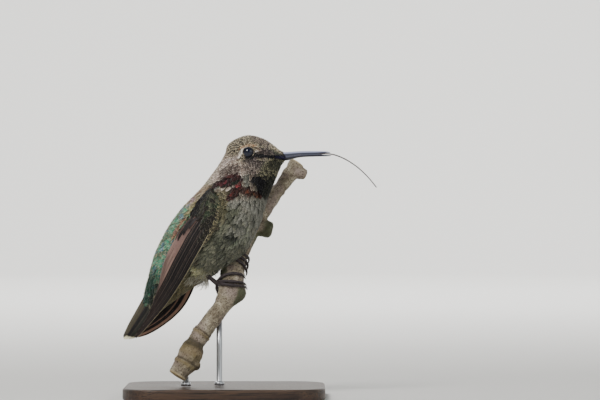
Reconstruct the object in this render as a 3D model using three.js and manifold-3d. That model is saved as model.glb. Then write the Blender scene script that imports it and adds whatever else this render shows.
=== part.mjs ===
// A life-size hummingbird at rest on a cut twig, held by a plain museum stand.
// Millimetres, +Z up. The bird faces -Y and its left side is +X. The origin is the middle of the
// underside of the stand's base. The bird's outline runs to the tips of its feathers.

import * as THREE from 'three';
import { LoftGeometry } from 'three/addons/geometries/LoftGeometry.js';
import { mergeVertices } from 'three/addons/utils/BufferGeometryUtils.js';
import Module from 'manifold-3d';

// ---------------------------------------------------------------- driving dimensions

const GAP = 0.3; // clearance between pieces that lie against each other

// Sections across the body from the tail coverts to the bill: the point on the back line, the point on
// the front line (y, z), the half width, and how far the widest place leans towards the front.
const BODY_SECTIONS = [
  { place: 'tail coverts', back: [28.1, 33.2], front: [22.3, 28.8], half: 3.6, lean: 0.0 },
  { place: 'rump', back: [25.5, 43.7], front: [12.2, 36.2], half: 6.3, lean: 0.0 },
  { place: 'vent', back: [23.3, 50.4], front: [5.9, 40.1], half: 8.6, lean: 0.02 },
  { place: 'belly', back: [18.9, 58.7], front: [-2.4, 45.2], half: 10.6, lean: 0.06 },
  { place: 'breast', back: [14.3, 64.8], front: [-7.8, 50.5], half: 11.5, lean: 0.08 },
  { place: 'shoulders', back: [8.1, 71.2], front: [-12.2, 59.2], half: 11.0, lean: 0.06 },
  { place: 'neck', back: [3.1, 77.7], front: [-14.9, 68.2], half: 8.9, lean: 0.02 },
  { place: 'nape', back: [0.2, 82.4], front: [-17.1, 73.5], half: 7.7, lean: 0.06 },
  { place: 'back of the head', back: [-0.9, 85.7], front: [-18.0, 75.8], half: 7.4, lean: 0.1 },
  { place: 'crown', back: [-3.7, 87.8], front: [-18.8, 77.6], half: 7.0, lean: 0.12 },
  { place: 'forecrown', back: [-7.9, 89.1], front: [-19.3, 78.8], half: 6.1, lean: 0.12 },
  { place: 'forehead', back: [-12.6, 88.1], front: [-19.8, 79.5], half: 4.5, lean: 0.08 },
  { place: 'lores', back: [-16.0, 86.1], front: [-20.1, 79.8], half: 3.0, lean: 0.02 },
  { place: 'bill base', back: [-18.6, 84.0], front: [-20.3, 80.1], half: 1.8, lean: 0.0 },
];
const NECK_START = 5.45; // places along the sections where trunk, neck and head part
const HEAD_START = 7.1;
const BODY_RING = 24; // points round a section
const RINGS_PER_SECTION = 2;

// Stations along the folded right wing: its upper edge by the back and its leading edge (out, y, z).
const WING_STATIONS = [
  { upper: [5.6, 5.3, 71.0], leading: [7.2, 3.9, 70.2] },
  { upper: [6.6, 8.0, 67.2], leading: [9.6, 2.2, 65.8] },
  { upper: [7.3, 12.0, 60.5], leading: [11.3, 3.1, 60.2] },
  { upper: [7.5, 17.0, 53.2], leading: [11.4, 5.9, 54.4] },
  { upper: [7.0, 20.3, 46.0], leading: [10.6, 9.7, 47.8] },
  { upper: [6.1, 22.5, 37.5], leading: [8.7, 14.3, 39.8] },
  { upper: [5.0, 25.7, 28.8], leading: [6.6, 20.5, 30.8] },
  { upper: [4.3, 30.6, 20.7], leading: [4.6, 29.9, 20.1] },
];
const WING_THICKNESS = { shoulder: 2.6, middle: 1.7, tip: 0.7 };
const WING_BULGE = 0.9; // how far a wing curves out between its edges
const WING_OUTSIDE = 5; // no body feathers lie over a wing within this distance
// The left wing's leading edge hangs lower than the right one's: how far, the way it goes (y, z), and
// how late along the wing the most of it comes. Its upper edge stays up, so that its feathers fan out.
const LEFT_WING_DROOP = { most: 5.2, way: [-0.84, -0.54], lateness: 3.4 };

// Stations along the closed tail: its ridge and its lower edge (y, z), and its half width.
const TAIL_STATIONS = [
  { ridge: [28.1, 33.0], edge: [22.5, 28.6], half: 3.7, fill: 1.0 },
  { ridge: [30.0, 29.6], edge: [25.0, 25.8], half: 4.4, fill: 0.6 },
  { ridge: [32.8, 24.6], edge: [28.6, 21.9], half: 4.6, fill: 0.3 },
  { ridge: [34.9, 19.9], edge: [32.3, 19.6], half: 3.6, fill: 0.3 },
];
const TAIL_THICKNESS = 0.8;

const EYE = { out: 5.4, y: -8.0, z: 83.1, radius: 2.1 };

// Stations along each half of the bill: its outer line and its cutting edge (heights), and half its
// width. The upper half's ridge is nearly level; the halves stand a little open at the tip.
const BILL_STATIONS = {
  upper: [
    { y: -16.6, outer: 83.3, edge: 81.95, half: 1.45 },
    { y: -20.4, outer: 83.32, edge: 82.1, half: 1.22 },
    { y: -25.5, outer: 83.62, edge: 82.55, half: 0.92 },
    { y: -30.6, outer: 83.64, edge: 82.8, half: 0.7 },
    { y: -34.0, outer: 83.6, edge: 83.02, half: 0.52 },
    { y: -35.8, outer: 83.3, edge: 83.0, half: 0.28 },
  ],
  lower: [
    { y: -16.6, outer: 80.6, edge: 81.6, half: 1.4 },
    { y: -20.4, outer: 80.45, edge: 81.85, half: 1.18 },
    { y: -25.5, outer: 81.5, edge: 82.3, half: 0.88 },
    { y: -30.6, outer: 81.78, edge: 82.5, half: 0.66 },
    { y: -34.0, outer: 81.86, edge: 82.36, half: 0.5 },
    { y: -36.1, outer: 81.98, edge: 82.2, half: 0.28 },
  ],
};
const TONGUE_PATH = [
  [-34.2, 82.74],
  [-37.4, 82.3],
  [-41.2, 80.7],
  [-45.1, 78.1],
  [-48.6, 74.8],
  [-51.5, 71.3],
];
const TONGUE_THICKNESS = 0.4;

// Stations up the twig from its cut lower end to its cut upper end (x, y, z). It rises away to the
// bird's left, swells under the feet and at the old joints, and bends forward at the top.
const TWIG_STATIONS = [
  { at: [-11.6, 15.8, 7.8], radius: 3.2 },
  { at: [-10.4, 12.1, 13.6], radius: 3.65 },
  { at: [-9.2, 8.9, 20.1], radius: 3.05 },
  { at: [-6.6, 0.9, 31.2], radius: 2.95 },
  { at: [-3.2, -1.9, 37.2], radius: 4.05 },
  { at: [1.6, -2.9, 43.2], radius: 3.95 },
  { at: [7.0, -5.4, 50.0], radius: 3.1 },
  { at: [10.6, -13.0, 63.4], radius: 2.6 },
  { at: [12.2, -19.6, 72.4], radius: 2.35 },
  { at: [13.4, -24.6, 79.9], radius: 2.5 },
];
// Stubs of lost side shoots: from, to (x, y, z) and radius at both ends.
const TWIG_STUBS = [
  { from: [9.6, -9.4, 58.4], to: [9.2, -15.2, 56.7], startRadius: 3.3, endRadius: 2.7 },
  { from: [12.8, -22.6, 77.4], to: [12.6, -27.2, 75.6], startRadius: 2.4, endRadius: 1.8 },
  { from: [-10.8, 12.2, 12.8], to: [-11.4, 8.6, 10.8], startRadius: 2.4, endRadius: 1.3 },
];

// Swellings of the bark: the place along the twig, the way they face, their height and half length.
const BARK_SWELLINGS = [
  { at: 0.385, towards: [0, -0.9, -0.45], height: 1.9, reach: 2.8 },
];

// Each foot: its place along the twig, the way from the twig's middle to the sole, and the shank's top.
const HIND_TOE = { start: -0.4, end: -2.6, dip: 0, from: 0, to: -66, claw: -40 };
// Toes: where each starts along the twig from the sole, where it ends, how far it sags down the twig
// half way, and the angles it wraps through. The right foot holds the slope of the twig level.
const FEET = {
  right: {
    at: 0.403,
    sole: [0.0, 0.87, 0.42],
    shankTop: [-3.4, 7.4, 42.6],
    toes: [
      { start: 0.4, end: 4.2, dip: 0, from: 0, to: 120, claw: 34 },
      { start: 0.0, end: 2.2, dip: 1.3, from: 0, to: 128, claw: 40 },
      { start: -0.4, end: 0.8, dip: 2.0, from: 0, to: 132, claw: 40 },
      HIND_TOE,
    ],
  },
  left: {
    at: 0.517,
    sole: [0.0, 0.87, 0.42],
    shankTop: [4.0, 3.6, 49.6],
    toes: [
      { start: 0.7, end: 3.0, dip: 0, from: 0, to: 150, claw: 46 },
      { start: 0.0, end: 0.2, dip: 0, from: 0, to: 158, claw: 46 },
      { start: -0.7, end: -2.6, dip: 0, from: 0, to: 146, claw: 46 },
      HIND_TOE,
    ],
  },
};
const SHANK_RADIUS = 0.75;
const SOLE_RADIUS = 0.95;
const TOE_RADIUS = 0.58;
const CLAW_TIP_RADIUS = 0.25;
const KNUCKLE = 0.06; // how far the joints of a toe stand out
const KNUCKLES_PER_TOE = 4.5;
const CLAW_LIFT = { from: 0.7, slope: 0.3 }; // a claw rises off the bark along its last stretch

const BASE = { length: 68, width: 58, thickness: 4, corner: 12, bevel: 0.8 };
const BASE_CENTRE_Y = 0;
const ROD_RADIUS = 1.0;
const ROD_PLACES = [0.06, 0.3]; // places along the twig that the rods hold

const COLOURS = {
  body: 0x8b8676,
  head: 0x6f6758,
  wing: 0x3b3130,
  tail: 0x2b2a28,
  bill: 0x17181d,
  tongue: 0x6a5a5c,
  eye: 0x0c0d12,
  foot: 0x3a2f33,
  bark: 0x9c917c,
  base: 0x2c2622,
  rod: 0xb9bcc0,
};

// ---------------------------------------------------------------- shared helpers

const wasm = await Module();
wasm.setup();

function solid(geometry) {
  const bare = new THREE.BufferGeometry().copy(geometry);
  bare.deleteAttribute('normal');
  bare.deleteAttribute('uv');
  const merged = mergeVertices(bare, 1e-4);
  return new wasm.Manifold(new wasm.Mesh({
    numProp: 3,
    vertProperties: new Float32Array(merged.attributes.position.array),
    triVerts: new Uint32Array(merged.index.array),
  }));
}

function geometryOf(shape) {
  const mesh = shape.getMesh();
  const geometry = new THREE.BufferGeometry();
  geometry.setAttribute('position', new THREE.BufferAttribute(new Float32Array(mesh.vertProperties), 3));
  geometry.setIndex(new THREE.BufferAttribute(new Uint32Array(mesh.triVerts), 1));
  geometry.computeVertexNormals();
  return geometry;
}

const lerp = THREE.MathUtils.lerp;
const radians = THREE.MathUtils.degToRad;

// A smooth curve through the values of a list, read at place t from 0 to the last index.
function through(values, t) {
  const last = values.length - 1;
  const i = Math.min(Math.max(Math.floor(t), 0), last - 1);
  const f = t - i;
  const before = values[Math.max(i - 1, 0)];
  const start = values[i];
  const end = values[i + 1];
  const after = values[Math.min(i + 2, last)];
  const startSlope = (end - before) / 2;
  const endSlope = (after - start) / 2;
  return start * (2 * f ** 3 - 3 * f ** 2 + 1) + startSlope * (f ** 3 - 2 * f ** 2 + f)
    + end * (3 * f ** 2 - 2 * f ** 3) + endSlope * (f ** 3 - f ** 2);
}

// One measure of a list of stations, or one axis of it, at place t.
function readAt(stations, t, key, axis) {
  return through(stations.map((station) => (axis === undefined ? station[key] : station[key][axis])), t);
}

function steps(from, to, count) {
  return Array.from({ length: count + 1 }, (_, i) => lerp(from, to, i / count));
}

// A closed loft through rings of points, each ring turned so that the faces point outwards.
function loft(sections) {
  const centre = (ring) => ring.reduce((sum, point) => sum.add(point), new THREE.Vector3())
    .divideScalar(ring.length);
  const [first, second] = sections;
  const middle = centre(first);
  const turn = first.reduce((sum, point, i) => {
    const next = first[(i + 1) % first.length];
    return sum.add(point.clone().sub(middle).cross(next.clone().sub(middle)));
  }, new THREE.Vector3());
  const forward = turn.dot(centre(second).sub(middle)) > 0;
  const rings = forward ? sections : sections.map((ring) => ring.slice().reverse());
  return new LoftGeometry(rings, { capStart: true, capEnd: true });
}

// A round bar along a curve, its radius given at each place from 0 to 1 and each way out from it.
function bar(curve, radiusAt, stepCount, sides) {
  const frames = curve.computeFrenetFrames(stepCount, false);
  const sections = frames.tangents.map((_, i) => {
    const middle = curve.getPointAt(i / stepCount);
    return Array.from({ length: sides }, (_unused, k) => {
      const turn = (2 * Math.PI * k) / sides;
      const way = frames.normals[i].clone().multiplyScalar(Math.cos(turn))
        .addScaledVector(frames.binormals[i], Math.sin(turn));
      return middle.clone().addScaledVector(way, radiusAt(i / stepCount, way));
    });
  });
  return loft(sections);
}

const group = new THREE.Group();

function place(name, geometry, colour, roughness = 0.8, metalness = 0) {
  const material = new THREE.MeshStandardMaterial({ color: colour, roughness, metalness });
  const mesh = new THREE.Mesh(geometry, material);
  mesh.name = name;
  group.add(mesh);
}

// ---------------------------------------------------------------- twig

const twigCurve = new THREE.CatmullRomCurve3(
  TWIG_STATIONS.map(({ at }) => new THREE.Vector3(...at)), false, 'catmullrom', 0.5,
);
const twigLength = twigCurve.getLength();
const twigRadii = TWIG_STATIONS.map(({ radius }) => radius);

// The bark's distance from the twig's middle, at a place along it and on the side that a way faces.
function barkRadius(share, way) {
  const plain = through(twigRadii, twigCurve.getUtoTmapping(share) * (twigRadii.length - 1));
  return BARK_SWELLINGS.reduce((radius, { at, towards, height, reach }) => {
    const away = ((share - at) * twigLength) / reach;
    const facing = Math.max(0, new THREE.Vector3(...towards).normalize().dot(way));
    return radius + height * Math.exp(-(away ** 2)) * facing ** 2;
  }, plain);
}

function twig(extra) {
  const stem = solid(bar(twigCurve, (t, way) => barkRadius(t, way) + extra, 40, 12));
  return TWIG_STUBS.reduce((shape, { from, to, startRadius, endRadius }) => {
    const line = new THREE.LineCurve3(new THREE.Vector3(...from), new THREE.Vector3(...to));
    const stub = bar(line, (t) => lerp(startRadius, endRadius, t ** 2) + extra, 4, 10);
    return shape.add(solid(stub));
  }, stem);
}

const twigClearance = twig(GAP);
place('perch', geometryOf(twig(0)), COLOURS.bark, 0.9);

// ---------------------------------------------------------------- legs and feet

// The ways at a foot: out from the twig's middle to the sole, and round it towards the near side.
function footFrame({ at, sole }) {
  const along = twigCurve.getTangentAt(at);
  const out = new THREE.Vector3(...sole);
  out.addScaledVector(along, -out.dot(along)).normalize();
  const round = along.clone().cross(out).normalize();
  if (round.x > 0) round.negate();
  return { at, out, round };
}

// A point over the bark: a distance along the twig from the foot, an angle round it and a height.
function overBark({ at, out, round }, along, angle, height) {
  const t = at + along / twigLength;
  const way = out.clone().multiplyScalar(Math.cos(angle)).addScaledVector(round, Math.sin(angle));
  return twigCurve.getPointAt(t).addScaledVector(way, barkRadius(t, way) + GAP + height);
}

// A toe lies round the twig from one angle to another, and its claw hooks on from there.
class ToeCurve extends THREE.Curve {
  constructor(frame, toe) {
    super();
    this.frame = frame;
    this.toe = toe;
  }

  getPoint(t, target = new THREE.Vector3()) {
    const { start, end, dip, from, to, claw } = this.toe;
    const along = lerp(start, end, Math.min(1, t * 1.3)) - dip * Math.sin(Math.PI * Math.min(1, t * 1.1));
    const angle = radians(lerp(from, to + claw, t));
    const height = TOE_RADIUS + CLAW_LIFT.slope * Math.max(0, t - CLAW_LIFT.from);
    return target.copy(overBark(this.frame, along, angle, height));
  }
}

function toe(frame, shape, extra) {
  const span = Math.abs(shape.to + shape.claw - shape.from);
  const clawStart = 1 - Math.abs(shape.claw) / span;
  const radiusAt = (t) => {
    const knuckle = KNUCKLE * Math.cos(2 * Math.PI * KNUCKLES_PER_TOE * t);
    const clawShare = Math.max(0, (t - clawStart) / (1 - clawStart));
    return lerp(TOE_RADIUS + knuckle, CLAW_TIP_RADIUS, clawShare ** 0.8) + extra;
  };
  return solid(bar(new ToeCurve(frame, shape), radiusAt, 10, 6));
}

function footShape(foot, extra) {
  const frame = footFrame(foot);
  const sole = new THREE.SphereGeometry(SOLE_RADIUS + extra, 8, 6);
  sole.translate(...overBark(frame, 0, 0, SOLE_RADIUS).toArray());
  return foot.toes.reduce((shape, item) => shape.add(toe(frame, item, extra)), solid(sole));
}

function shankShape(foot, extra) {
  const ankle = overBark(footFrame(foot), 0, 0, SOLE_RADIUS);
  const top = new THREE.Vector3(...foot.shankTop);
  const line = new THREE.LineCurve3(top, ankle);
  return solid(bar(line, (t) => SHANK_RADIUS * lerp(1.15, 1, t) + extra, 2, 8));
}

Object.entries(FEET).forEach(([side, foot]) => {
  const shank = shankShape(foot, 0).subtract(footShape(foot, GAP)).subtract(twigClearance);
  place(`foot_${side}`, geometryOf(footShape(foot, 0)), COLOURS.foot, 0.6);
  place(`leg_${side}`, geometryOf(shank), COLOURS.foot, 0.7);
});
// The belly lies on the feet: it is kept off the twig by the height of a toe, and off both shanks.
const perchingClearance = Object.values(FEET).reduce((shape, foot) => {
  const sole = new THREE.SphereGeometry(SOLE_RADIUS + GAP, 8, 6);
  sole.translate(...overBark(footFrame(foot), 0, 0, SOLE_RADIUS).toArray());
  return shape.add(solid(sole)).add(shankShape(foot, GAP));
}, twig(2 * TOE_RADIUS + 2 * GAP));

// ---------------------------------------------------------------- wings

function wingPoint(t, across, side) {
  const read = (edge, axis) => readAt(WING_STATIONS, t, edge, axis);
  const share = t / (WING_STATIONS.length - 1);
  const { most, way, lateness } = LEFT_WING_DROOP;
  const droop = side > 0 ? across * most * Math.sin(Math.PI * share ** lateness) : 0;
  const bulge = WING_BULGE * Math.sin(Math.PI * across) * Math.sin(Math.PI * Math.min(1, share + 0.1));
  const out = lerp(read('upper', 0), read('leading', 0), across) + bulge;
  const y = lerp(read('upper', 1), read('leading', 1), across) + way[0] * droop;
  const z = lerp(read('upper', 2), read('leading', 2), across) + way[1] * droop;
  return new THREE.Vector3(out * side, y, z);
}

// Thickest near the shoulder, thinning to the flight feathers at the tip.
function wingThickness(share) {
  const { shoulder, middle, tip } = WING_THICKNESS;
  return share < 0.5 ? lerp(shoulder, middle, share * 2) : lerp(middle, tip, share * 2 - 1);
}

// A blade with an outer and an inner sheet, both bowed, that meet in blunt edges. The clearance for it
// is wider by extra all round, and also takes what would lie outside the wing.
function wing(side, extra) {
  const outside = extra > 0 ? WING_OUTSIDE : 0;
  const columns = 7;
  const sections = steps(0, WING_STATIONS.length - 1, 14).map((t) => {
    const share = t / (WING_STATIONS.length - 1);
    const sheet = (sign) => steps(0, 1, columns).map((across) => {
      const lens = 0.35 + 0.65 * Math.sin(Math.PI * across) ** 0.6;
      const margin = extra * (2 * across - 1);
      const point = wingPoint(t, across, side);
      const edgeWay = wingPoint(t, 1, side).sub(wingPoint(t, 0, side)).normalize();
      point.addScaledVector(edgeWay, margin);
      point.x += side * sign * (wingThickness(share) * lens * 0.5 + extra);
      if (sign > 0) point.x += side * outside;
      return point;
    });
    return [...sheet(1), ...sheet(-1).reverse()];
  });
  return solid(loft(sections));
}

const wings = { right: wing(-1, 0), left: wing(1, 0) };
const wingsClearance = wing(-1, GAP).add(wing(1, GAP));
Object.entries(wings).forEach(([side, shape]) => {
  place(`wing_${side}`, geometryOf(shape), COLOURS.wing, 0.6);
});

// ---------------------------------------------------------------- trunk, neck and head

// A section is an oval between the back line and the front line; lean moves its widest place.
function bodySection(t, extra = 0) {
  const read = (key, axis) => readAt(BODY_SECTIONS, t, key, axis);
  const back = new THREE.Vector3(0, read('back', 0), read('back', 1));
  const front = new THREE.Vector3(0, read('front', 0), read('front', 1));
  const middle = back.clone().lerp(front, 0.5);
  const depth = back.distanceTo(front) / 2 + extra;
  const up = back.clone().sub(front).normalize();
  const half = read('half') + extra;
  const lean = read('lean');
  return Array.from({ length: BODY_RING }, (_, k) => {
    const turn = (2 * Math.PI * k) / BODY_RING;
    const point = middle.clone().addScaledVector(up, depth * Math.cos(turn));
    point.x = half * Math.sin(turn) * (1 - lean * Math.cos(turn));
    return point;
  });
}

function bodyLength(from, to) {
  const count = Math.round((to - from) * RINGS_PER_SECTION);
  return solid(loft(steps(from, to, count).map((t) => bodySection(t))));
}

const cut = 0.06; // half of the thin cut between two lengths, as a share of a section's spacing
const lastSection = BODY_SECTIONS.length - 1;
const trunk = bodyLength(0, NECK_START - cut)
  .subtract(wingsClearance).subtract(perchingClearance);
const neck = bodyLength(NECK_START + cut, HEAD_START - cut).subtract(wingsClearance);

// ---------------------------------------------------------------- eyes, bill and tongue

function eye(side, extra) {
  const ball = new THREE.SphereGeometry(EYE.radius + extra, 14, 10);
  ball.translate(side * EYE.out, EYE.y, EYE.z);
  return solid(ball);
}

// One half of the bill: a half-round bar, flat where it meets the other half.
function billHalf(upper, extra) {
  const sign = upper ? 1 : -1;
  const stations = upper ? BILL_STATIONS.upper : BILL_STATIONS.lower;
  const sections = steps(0, 1, 10).map((share) => {
    const read = (key) => readAt(stations, share * (stations.length - 1), key);
    const [half, edge] = [read('half') + extra, read('edge') - sign * extra];
    const depth = sign * (read('outer') - read('edge')) + 2 * extra;
    return steps(0, Math.PI, 8).map((turn) => new THREE.Vector3(
      half * Math.cos(turn),
      read('y') - extra * (2 * share - 1),
      edge + sign * depth * Math.sin(turn),
    ));
  });
  return solid(loft(sections));
}

const headCuts = [eye(1, GAP), eye(-1, GAP), billHalf(true, GAP), billHalf(false, GAP)]
  .reduce((all, shape) => all.add(shape));
const head = bodyLength(HEAD_START + cut, lastSection).subtract(headCuts);

place('trunk', geometryOf(trunk), COLOURS.body, 0.9);
place('neck', geometryOf(neck), COLOURS.body, 0.9);
place('head', geometryOf(head), COLOURS.head, 0.9);
place('eye_left', geometryOf(eye(1, 0)), COLOURS.eye, 0.1);
place('eye_right', geometryOf(eye(-1, 0)), COLOURS.eye, 0.1);
place('bill_upper', geometryOf(billHalf(true, 0)), COLOURS.bill, 0.3);
place('bill_lower', geometryOf(billHalf(false, 0)), COLOURS.bill, 0.3);

const tongueCurve = new THREE.CatmullRomCurve3(TONGUE_PATH.map(([y, z]) => new THREE.Vector3(0, y, z)));
place('tongue', bar(tongueCurve, () => TONGUE_THICKNESS / 2, 16, 6), COLOURS.tongue, 0.4);

// ---------------------------------------------------------------- tail

// An arched fan of folded feathers: a ridge above, side edges below, hollow under the ridge.
function tail() {
  const around = 8;
  const sections = steps(0, TAIL_STATIONS.length - 1, 9).map((t) => {
    const read = (key, axis) => readAt(TAIL_STATIONS, t, key, axis);
    const ridge = new THREE.Vector3(0, read('ridge', 0), read('ridge', 1));
    const edge = new THREE.Vector3(0, read('edge', 0), read('edge', 1));
    const up = ridge.clone().sub(edge);
    const height = up.length();
    up.normalize();
    const half = read('half');
    const inner = lerp(Math.max(height - TAIL_THICKNESS * 1.4, 0.3), 0.05, read('fill'));
    const arch = (wide, high) => steps(0, Math.PI, around).map((turn) => {
      const point = edge.clone().addScaledVector(up, high * Math.sin(turn));
      point.x = wide * Math.cos(turn);
      return point;
    });
    return [...arch(half, height), ...arch(half - TAIL_THICKNESS, inner).reverse()];
  });
  return solid(loft(sections));
}

const trunkEnd = solid(loft([-0.08, 0.4, 0.9].map((t) => bodySection(t, GAP))));
place('tail', geometryOf(tail().subtract(trunkEnd).subtract(wingsClearance)), COLOURS.tail, 0.6);

// ---------------------------------------------------------------- display stand

function plate() {
  const { length, width, thickness, corner, bevel } = BASE;
  const x = width / 2 - bevel;
  const y = length / 2 - bevel;
  const outline = new THREE.Shape();
  outline.moveTo(-x + corner, -y);
  outline.lineTo(x - corner, -y);
  outline.absarc(x - corner, -y + corner, corner, -Math.PI / 2, 0);
  outline.lineTo(x, y - corner);
  outline.absarc(x - corner, y - corner, corner, 0, Math.PI / 2);
  outline.lineTo(-x + corner, y);
  outline.absarc(-x + corner, y - corner, corner, Math.PI / 2, Math.PI);
  outline.lineTo(-x, -y + corner);
  outline.absarc(-x + corner, -y + corner, corner, Math.PI, 1.5 * Math.PI);
  const geometry = new THREE.ExtrudeGeometry(outline, {
    depth: thickness - 2 * bevel,
    bevelEnabled: true,
    bevelThickness: bevel,
    bevelSize: bevel,
    bevelSegments: 1,
    curveSegments: 6,
  });
  geometry.translate(0, BASE_CENTRE_Y, bevel);
  return geometry;
}

place('stand_base', geometryOf(solid(plate())), COLOURS.base, 0.5);

// A rod stands on the base and stops just under the twig.
ROD_PLACES.forEach((at, i) => {
  const held = twigCurve.getPointAt(at);
  const bottom = BASE.thickness + GAP;
  const rod = new THREE.CylinderGeometry(ROD_RADIUS, ROD_RADIUS, held.z - bottom, 16);
  rod.rotateX(Math.PI / 2);
  rod.translate(held.x, held.y, (held.z + bottom) / 2);
  place(`stand_rod_${i + 1}`, geometryOf(solid(rod).subtract(twigClearance)), COLOURS.rod, 0.3, 1);
});

export default group;
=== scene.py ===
"""A life-size hummingbird at rest on a cut twig, held by a plain museum stand.

Metres in Blender, millimetres in the numbers below, +Z up. The bird faces -Y and its left side is +X.
"""

import bpy
import numpy as np
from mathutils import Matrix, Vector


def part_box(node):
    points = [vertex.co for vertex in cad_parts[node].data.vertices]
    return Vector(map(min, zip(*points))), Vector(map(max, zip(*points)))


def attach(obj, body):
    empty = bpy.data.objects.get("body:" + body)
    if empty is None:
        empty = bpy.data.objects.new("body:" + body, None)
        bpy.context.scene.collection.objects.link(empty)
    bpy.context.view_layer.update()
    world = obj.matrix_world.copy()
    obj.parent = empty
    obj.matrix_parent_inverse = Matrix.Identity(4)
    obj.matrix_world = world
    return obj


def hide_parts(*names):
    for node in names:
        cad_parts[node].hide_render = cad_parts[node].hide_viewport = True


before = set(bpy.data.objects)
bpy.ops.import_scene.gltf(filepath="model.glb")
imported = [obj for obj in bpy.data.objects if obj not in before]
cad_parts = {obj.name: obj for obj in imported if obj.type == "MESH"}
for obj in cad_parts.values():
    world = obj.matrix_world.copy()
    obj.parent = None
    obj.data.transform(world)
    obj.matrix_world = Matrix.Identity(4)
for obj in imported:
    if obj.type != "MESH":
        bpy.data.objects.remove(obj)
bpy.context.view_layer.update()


# ------------------------------------------------------------------ stand
# The base is a flat plate of dark oiled walnut with rounded corners and a softened edge, cut from one
# board so that its grain runs along its length. Two brushed steel rods stand in it and hold the twig.

MM = 0.001
BASE = {"length": 68.0, "width": 58.0, "thickness": 4.0, "corner": 12.0, "edge": 0.8}
CORNER_POINTS = 13
EDGE_POINTS = 7


def shade(code):
    """A colour written as six hexadecimal digits, turned from display values to light values."""
    display = np.array([int(code[i:i + 2], 16) for i in (0, 2, 4)]) / 255
    return np.where(display <= 0.04045, display / 12.92, ((display + 0.055) / 1.055) ** 2.4)


class Value:
    """One socket of a material: arithmetic on it adds the Math nodes that work it out."""

    def __init__(self, finish, socket):
        self.finish = finish
        self.socket = socket

    def __add__(self, other):
        return self.finish.math("ADD", self, other)

    def __sub__(self, other):
        return self.finish.math("SUBTRACT", self, other)

    def __rsub__(self, other):
        return self.finish.math("SUBTRACT", other, self)

    def __mul__(self, other):
        return self.finish.math("MULTIPLY", self, other)

    def __pow__(self, other):
        return self.finish.math("POWER", self, other)

    __radd__ = __add__


class Finish:
    """A surface's material, built round one Principled shader whose fixed sockets are set by name."""

    def __init__(self, name, **fixed):
        self.material = bpy.data.materials.new(name)
        self.material.use_nodes = True
        self.tree = self.material.node_tree
        self.shader = self.tree.nodes["Principled BSDF"]
        for key, value in fixed.items():
            self.shader.inputs[key.replace("_", " ")].default_value = value

    def node(self, kind, settings=(), sockets=(), output=0):
        """Adds a node: its settings first, a ramp's stops among them, then its sockets."""
        made = self.tree.nodes.new(kind)
        for key, value in dict(settings).items():
            if key == "stops":
                ramp = made.color_ramp.elements
                while len(ramp) < len(value):
                    ramp.new(0.5)
                for element, (place, colour) in zip(ramp, value):
                    element.position = place
                    element.color = (*colour, 1)
            else:
                setattr(made, key, value)
        for key, value in dict(sockets).items():
            self.join(made.inputs[key], value)
        return Value(self, made.outputs[output])

    def math(self, operation, first, second=0.0):
        return self.node("ShaderNodeMath", {"operation": operation}, {0: first, 1: second})

    def join(self, socket, value):
        """Links a worked-out value to a socket, or sets a plain number, vector or colour on it."""
        if isinstance(value, Value):
            self.tree.links.new(value.socket, socket)
        elif np.ndim(value) and len(value) == 3 and socket.type == "RGBA":
            socket.default_value = (*value, 1)
        else:
            socket.default_value = value

    def blend(self, factor, first, second):
        """The first colour where factor is 0 and the second where it is 1."""
        return self.node("ShaderNodeMix", {"data_type": "RGBA"}, {0: factor, 6: first, 7: second}, 2)

    def dimmed(self, colour, amount):
        """The colour times a number, which may be over 1."""
        return self.node("ShaderNodeVectorMath", {"operation": "SCALE"}, {0: colour, "Scale": amount})

    def step(self, value, low, high, start=0.0, end=1.0):
        """A smooth step of value, from start below low to end above high."""
        return self.node(
            "ShaderNodeMapRange", {"interpolation_type": "SMOOTHSTEP"},
            {0: value, 1: low, 2: high, 3: start, 4: end},
        )

    def place(self, scale=(1, 1, 1)):
        """The piece's own coordinates in metres, stretched by scale."""
        at = self.node("ShaderNodeTexCoord", output=3)
        return self.node("ShaderNodeMapping", {}, {"Vector": at, "Scale": scale})

    def noise(self, at, scale, detail=4, roughness=0.55, **more):
        """A soft random pattern round 0.5, with scale lumps to the metre."""
        sockets = {"Vector": at, "Scale": scale, "Detail": detail, "Roughness": roughness}
        return self.node("ShaderNodeTexNoise", {}, {**sockets, **more})

    def attribute(self, name, output=0):
        """What is stored at the piece's points: output 0 reads a colour and output 2 a number."""
        return self.node("ShaderNodeAttribute", {"attribute_name": name}, output=output)

    def finish(self, colour, roughness, bump=None, depth=0.0001, strength=0.6, metallic=None):
        """Joins the worked-out values to the shader. The bump is up to depth metres high."""
        self.join(self.shader.inputs["Base Color"], colour)
        self.join(self.shader.inputs["Roughness"], roughness)
        if metallic is not None:
            self.join(self.shader.inputs["Metallic"], metallic)
        if bump is not None:
            sockets = {"Strength": strength, "Distance": depth, "Height": bump}
            self.join(self.shader.inputs["Normal"], self.node("ShaderNodeBump", {}, sockets))
        return self.material


def mesh_object(name, points, faces, material, smooth=True):
    """An object from points (n, 3) in millimetres and a list of (m, k) arrays of corner numbers."""
    mesh = bpy.data.meshes.new(name)
    counts = np.concatenate([np.full(len(f), f.shape[1]) for f in faces])
    corners = np.concatenate([f.ravel() for f in faces]).astype(np.int32)
    mesh.vertices.add(len(points))
    mesh.vertices.foreach_set("co", (points * MM).astype(np.float32).ravel())
    mesh.loops.add(len(corners))
    mesh.loops.foreach_set("vertex_index", corners)
    mesh.polygons.add(len(counts))
    starts = np.concatenate([[0], np.cumsum(counts)[:-1]])
    mesh.polygons.foreach_set("loop_start", starts.astype(np.int32))
    mesh.polygons.foreach_set("use_smooth", np.full(len(counts), smooth))
    mesh.update(calc_edges=True)
    mesh.materials.append(material)
    made = bpy.data.objects.new(name, mesh)
    bpy.context.scene.collection.objects.link(made)
    return made


def mesh_piece(name, points, faces, material, smooth=True):
    """A mesh object that rides the bird's one body."""
    piece = mesh_object(name, points, faces, material, smooth)
    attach(piece, "root")
    return piece


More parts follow.
